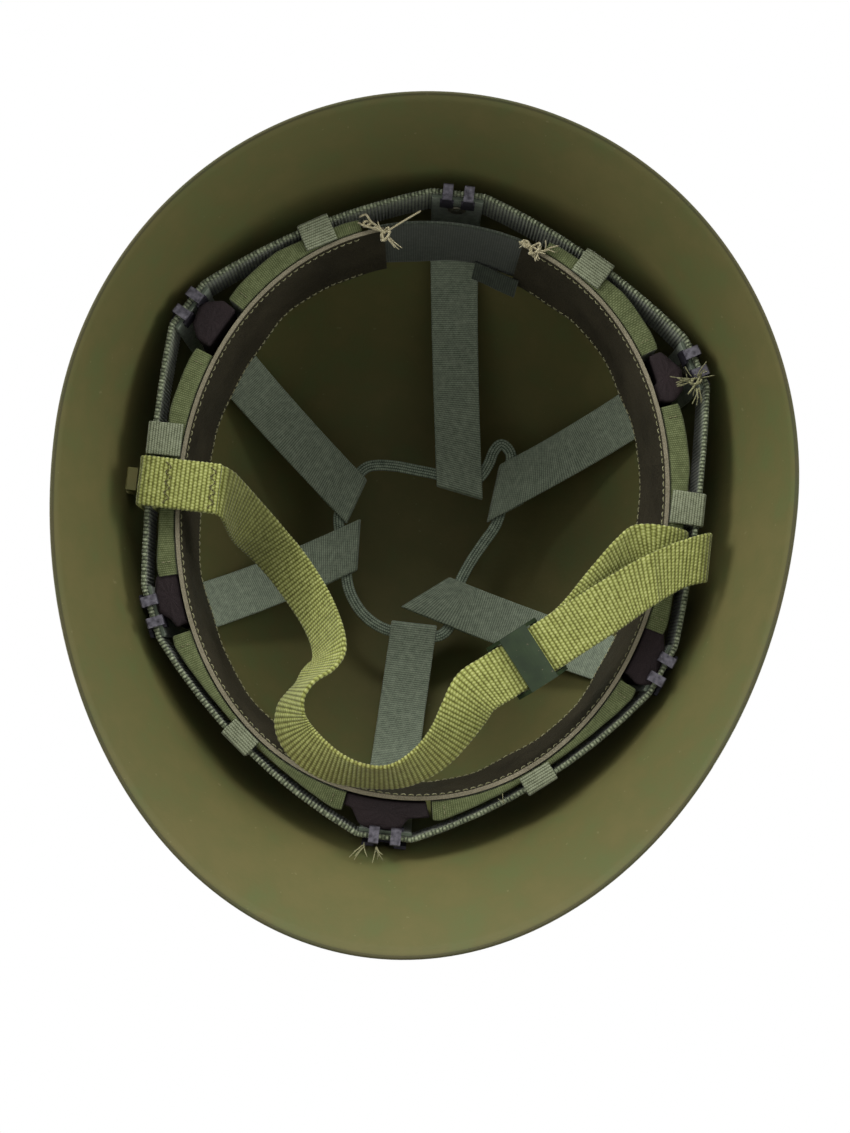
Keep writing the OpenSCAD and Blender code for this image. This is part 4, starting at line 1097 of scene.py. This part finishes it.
def frayed(centre, way, count, length, spread, radius=0.22):
    """Tails of thread that leave a knot roughly one way."""
    parts = []
    for _ in range(count):
        heading = unit(np.asarray(way, float) + rng.normal(0, spread, 3))
        curl = rng.normal(0, 0.55, 3)
        size = length * rng.uniform(0.55, 1.1)
        start = np.asarray(centre, float) + rng.normal(0, 0.5, 3)
        parts.append(tube([start + heading * size * k + curl * size * 0.5 * k * k for k in (0, 0.3, 0.65, 1)],
                          radius * rng.uniform(0.8, 1.2)))
    return parts


def knot(centre, size, radius, flat=0.6):
    """A few turns of thread pulled tight."""
    a = np.linspace(0, 2.6 * 2 * math.pi, 34)
    tilt_by = rng.uniform(0, math.pi)
    wide = np.cos(a) * (1 + 0.35 * np.sin(1.7 * a))
    ring = np.stack([wide, np.sin(a) * flat, 0.55 * np.sin(2.3 * a + 1)], 1)
    c, s = math.cos(tilt_by), math.sin(tilt_by)
    ring[:, :2] = ring[:, :2] @ np.array([[c, s], [-s, c]])
    return [tube(np.asarray(centre, float) + ring * size, radius)]


threads = knot((24.4, 103.2, 32.6), 2.0, 0.45) + knot((31.5, 106.4, 32.9), 1.4, 0.4)
threads += [tube([(34.5, 108.6, 33.4), (32.2, 109.6, 32.6), (30.2, 107.2, 32.2), (27.5, 105.6, 32.0),
                  (24.4, 103.4, 32.2)], 0.42)]
threads += [tube([(34.8, 106.6, 33.3), (31.5, 105.2, 32.2), (27.2, 104.6, 32.4), (24.6, 102.9, 32.8)], 0.38)]
threads += [tube([(25.6, 103.0, 32.4), (19.6, 107.8, 32.0), (12.7, 113.2, 32.2)], 0.36)]
threads += frayed((23.6, 102.4, 32.8), (-0.5, -1.0, -0.1), 7, 4.2, 0.5)
threads += frayed((25.4, 104.4, 32.6), (0.8, 0.3, -0.1), 4, 4.0, 0.4)
threads += knot((-29.6, 104.2, 32.6), 2.1, 0.45) + knot((-26.4, 105.6, 32.8), 1.5, 0.4)
threads += [tube([(-23.6, 106.4, 33.0), (-27.5, 105.2, 32.2), (-32.0, 103.6, 32.2),
                  (-35.2, 105.4, 33.2)], 0.42)]
threads += frayed((-30.4, 103.4, 32.8), (0.1, -1.0, -0.1), 6, 4.0, 0.5)
threads += frayed((-33.4, 104.6, 32.8), (-0.9, 0.6, -0.1), 4, 4.4, 0.45)
threads += frayed((-27.0, 105.8, 32.8), (0.9, 0.4, -0.1), 4, 3.4, 0.5)
make_piece("cream_rear_lacing", joined(threads), cream_thread, "helmet", "rear_lacing", 80)

# At the rear right hook, at the front hook and at the front right keeper
tails = frayed((-90.6, 63.4, 32.4), (0.9, -0.2, 0.0), 9, 7.5, 0.35, 0.2)
tails += frayed((-92.6, 60.8, 32.2), (0.1, -1, 0), 8, 5.2, 0.5, 0.2)
tails += frayed((-92.2, 64.6, 32.2), (-0.2, 1, 0), 6, 4.6, 0.6, 0.2) + knot((-91.8, 62.8, 32.0), 1.7, 0.4)
tails += [tube([(-93.8, 66.2, 32.4), (-92.6, 63.2, 31.7), (-91.0, 60.2, 31.8), (-89.6, 58.0, 32.6)], 0.4)]
tails += frayed((6.8, -113.2, 32.6), (0.9, -0.7, 0), 5, 6.0, 0.35, 0.18)
tails += frayed((2.6, -113.4, 32.4), (-0.5, -0.9, 0), 6, 5.4, 0.5, 0.18)
tails += frayed((-40, -93.6, 33.6), (0.3, 1, 0), 2, 5, 0.4, 0.12)
make_piece("loose_thread_tails", joined(tails), stitch_thread, "helmet", None, 80)
print("threads", len(threads) + len(tails))

# %% [markdown]
# ## Chin strap
# One length of webbing: its end is folded round the band at the left and sewn down on
# itself, the free part wanders across the opening in two deep bends, and the other end
# goes through the slide buckle, round the band at the right, and back to the buckle.
# It is drawn as one line with its own banking, as webbing turns on edge where it bends,
# and then cut in three: the two ends, which ride on no body, and the free part between them, which rides on
# the strap.

# %% Route of the chin strap
def banked(rows, sign=1):
    """Adds to each [x, y, z, bank] row the way that the strap's width points.

    It is level and square to the route, turned up by the bank in degrees. Towards the sewn end
    and the turn round the band at the right, it blends into -Y, as the band holds it there."""
    rows = np.asarray(rows, float)
    made = []
    for i, row in enumerate(rows):
        step = unit(rows[min(i + 1, len(rows) - 1), :3] - rows[max(i - 1, 0), :3])
        level = unit([-step[1], step[0], 0]) * sign
        rise = unit(np.cross(level, step))
        bank = math.radians(row[3])
        over = level * math.cos(bank) + rise * math.sin(bank)
        square = max(0, 1 - (71.4 - row[0]) / 16, min(1, (-64 - row[0]) / 30))
        made.append([*row[:3], *unit(over * (1 - square) - np.array([0, square, 0]))])
    return made


def upright(y, rows):
    """[x, z] rows of a loop round the band at one y, where the width runs along -Y."""
    return [[x, y, z, 0, -1, 0] for x, z in rows]


def at_buckle(*rows):
    """[d, z] rows d mm from the buckle's middle, along the straight stretch through it."""
    a = math.radians(141)
    return [[-42 + math.cos(a) * d, -42.5 + math.sin(a) * d, z, bank] for d, z, bank in rows]


left_loop = [[71.6, 4.4, 28.0, 0, -1, 0]]
left_loop += upright(4.5, [[75, 28.0], [80, 28.0], [86, 28.0], [92, 28.0], [96.6, 28.1], [98.9, 28.9],
                           [99.9, 31], [100, 36], [99.9, 44], [99.8, 51], [99.4, 54.4], [97.4, 55.4],
                           [95.3, 54.4], [94.9, 51], [94.9, 44], [94.8, 37], [94.3, 32.8], [92.6, 30.4],
                           [89, 29.9], [83, 29.9], [77, 29.9]])
left_loop += [[72, 4.2, 29.8, 0, -1, 0]]
front = [[69, 3, 30.8, 0], [66.2, 0, 34.6, -4], [61.6, -5, 41.4, -12], [55, -10.6, 46.8, -20],
         [47.8, -17, 49.6, -26], [40.4, -25, 49.6, -30], [34, -33, 47, -34], [29.6, -40.2, 42.4, -40],
         [27.4, -46.2, 37.4, -46], [27.6, -50.6, 33.6, -53], [30, -55, 29.6, -62], [33.4, -59.4, 26.8, -73],
         [36.2, -64, 25.2, -67], [37.3, -69, 25.2, -54], [36.4, -74.4, 25.6, -45], [33, -79.4, 25.8, -42],
         [27.2, -83.8, 25.2, -44], [19.8, -87.2, 24.6, -51], [11.6, -88.8, 24, -59], [3.2, -88.8, 23.8, -62],
         [-3.6, -86.8, 24, -58], [-9.8, -82.6, 24.2, -51], [-14.8, -77.4, 24.2, -43], [-18.8, -71, 23.6, -34],
         [-22, -64, 22.4, -20]]
front += at_buckle([-21, 21, -2], [-12, 21, 0], [0, 21, 0], [12, 21, 0], [32, 21.8, 0])
front += [[-78.7, -12.8, 23.5, 0], [-88, -6.4, 25.0, 0]]
right_loop = [[-94.6, -2.6, 26.2, 0, -1, 0], [-99.6, -0.6, 27.4, 0, -1, 0], [-102.0, 0.2, 30.4, 0, -1, 0]]
right_loop += upright(0.5, [[-101.9, 36], [-100.6, 44], [-99.9, 51], [-99.4, 54.4], [-97.3, 55.5],
                            [-95.2, 54.4], [-94.8, 51], [-94.8, 44], [-94.8, 37.5], [-94.3, 34.4]])
right_loop += [[-92.2, 0.7, 32.5, 0, -1, 0.06], [-86, 1.1, 31.2, 0, -0.98, 0.17]]
back = [[-78.2, 0.6, 30.7, 16], [-73.0, -4.0, 30.0, 32], [-67.2, -13, 28.4, 30], [-60.4, -25, 24.8, 8]]
back += at_buckle([14.6, 22.7, 0], [0, 22.7, 0], [-19, 22.7, 0])
route = np.array(left_loop + banked(front) + right_loop + banked(back, -1))
webbing = evenly(smooth(route, 8), 0.29)
path = webbing[:, :3]
ahead = unit(np.gradient(path, axis=0))
over = unit(webbing[:, 3:])
up = unit(np.cross(ahead, over))
run = lengths(path)
print("chin strap", round(run[-1]), "mm long")

# %% Chin strap in three parts
# Ribs lie a little wider apart at the sewn end and in the deep bend than at the looped end
strap_w, strap_t, rib_pitch = 17.8, 1.7, 1.45
places_along = [0, 60, 92, 150, 205, 240, 290, 330, 395, 430, 470, 540, 600]
rib_gap = [1.55, 1.55, 1.5, 1.5, 1.5, 1.55, 1.55, 1.55, 1.5, 1.5, 1.45, 1.45, 1.45]
ribs = np.r_[0, np.cumsum(np.diff(run) / np.interp(run[1:], places_along, rib_gap))]
outline = strap_outline(strap_w, strap_t, 16)
shape = ribbed(outline, ribs, 1, 0.26, 0.03)
shape[..., 1] += 0.22 * np.sin(run / 6.3)[:, None] * (outline[:, 0] / 9.0)[None] ** 3
# A sharp cross crease lies just before the turn round the band at the right
crease_at = run[np.argmax((path[:, 0] < -82.5) & (run > 300))]
shape[..., 1] -= (0.9 * np.exp(-((run - crease_at) / 1.9) ** 2))[:, None]


def cut_from(a, b):
    """The strap from station a to station b."""
    part = slice(a, b + 1)
    return sweep(path[part], over[part], up[part], shape[part], along=ribs[a:b + 2] * rib_pitch)


# The sewn end runs to the first station, the turn at the right from before to after its fold
first = np.argmax((run > 60) & (path[:, 0] < 50) & (path[:, 2] < 30))
fold = np.argmin(path[:, 0])
before = fold - np.argmax(path[fold::-1, 0] > -64)
after = fold + np.argmax(path[fold:, 0] > -64)
# Sweat has browned the webbing where the strap lay under the chin, its lowest bend
tree = chin_webbing.node_tree
shader = tree.nodes["Principled BSDF"]
clean = shader.inputs["Base Color"].links[0].from_socket
where = place(tree)
axes = add(tree, "SeparateXYZ", {0: where})
low_bend = ranged(tree, axes.outputs[1], -70 * MM, -90 * MM, 0.0, 0.5)
soaked = maths(tree, "MULTIPLY", low_bend, maths(tree, "MULTIPLY_ADD", noise(tree, where, 9, 3), 1.4, -0.1))
browned = mixed(tree, soaked, clean, "#6a5a2c", use_clamp=True)
# Painted shade darkens the first stretch of the strap, between its sewn end and the deep bend
bend_side = ranged(tree, axes.outputs[0], 34 * MM, 56 * MM, 0.0, 0.62)
seam_side = ranged(tree, axes.outputs[0], 71.5 * MM, 69 * MM)
painted_shade_stretch = maths(tree, "MULTIPLY", bend_side, seam_side)
connect(tree, shader, Base_Color=mixed(tree, painted_shade_stretch, browned, "#3a3a1a"))

left_part = make_piece("chin_strap_sewn_end", cut_from(0, first), chin_webbing, None,
                       ("chin_strap_anchor_left", "chin_strap"), 60)
free_parts = joined([cut_from(first, before), cut_from(after, len(path) - 1)])
make_piece("chin_strap_webbing", free_parts, chin_webbing, "chin_strap", "chin_strap",
           60)
right_part = make_piece("chin_strap_looped_end", cut_from(before, after), chin_webbing, None,
                        ("chin_strap_anchor_right", "chin_strap"), 60)
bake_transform(left_part)
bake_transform(right_part)
# Two zigzag seams across the doubled end, on its lower face
seam_z, seam_half, zigzag = 27.12, 8, 3.6
seams = []
for x in (74.0, 89.8):
    line = evenly(np.array([[x + 0.3 * s, 4.5 + s * seam_half, seam_z] for s in (-1, 1)]), 0.3)
    line[:, 0] += 0.9 * np.sin(lengths(line) * 2 * math.pi / zigzag)
    seams += stitch_row(line, (0, 0, -1.0), 1.5, 0.27, 1.8, 0.2)
make_piece("chin_strap_seams", joined(seams), seam_thread, "helmet", None, 80)
print("strap parts end at stations", first, before, after)

# %% [markdown]
# ## Slide buckle
# Stamped steel with a dark green baked paint. Baked paint is smoother and glossier than
# the sprayed shell, and it is chipped in small spots, where brown steel comes through.

# %% Material: baked green paint
baked, tree, shader = new_finish("baked_green_paint")
where = place(tree)
bare = maths(tree, "GREATER_THAN", noise(tree, where, 1.6, 4), 0.71)
tone = ramp(tree, noise(tree, where, 6, 3), (0.3, "#1c2816"), (0.7, "#27351d"))
connect(tree, shader, Base_Color=mixed(tree, bare, tone, "#5b5545"), Specular_IOR_Level=0.3,
        Roughness=maths(tree, "MULTIPLY_ADD", noise(tree, where, 4, 3), 0.2, 0.3),
        Normal=bump(tree, noise(tree, where, 1.1, 2), 0.03))
dress("strap_buckle", baked)
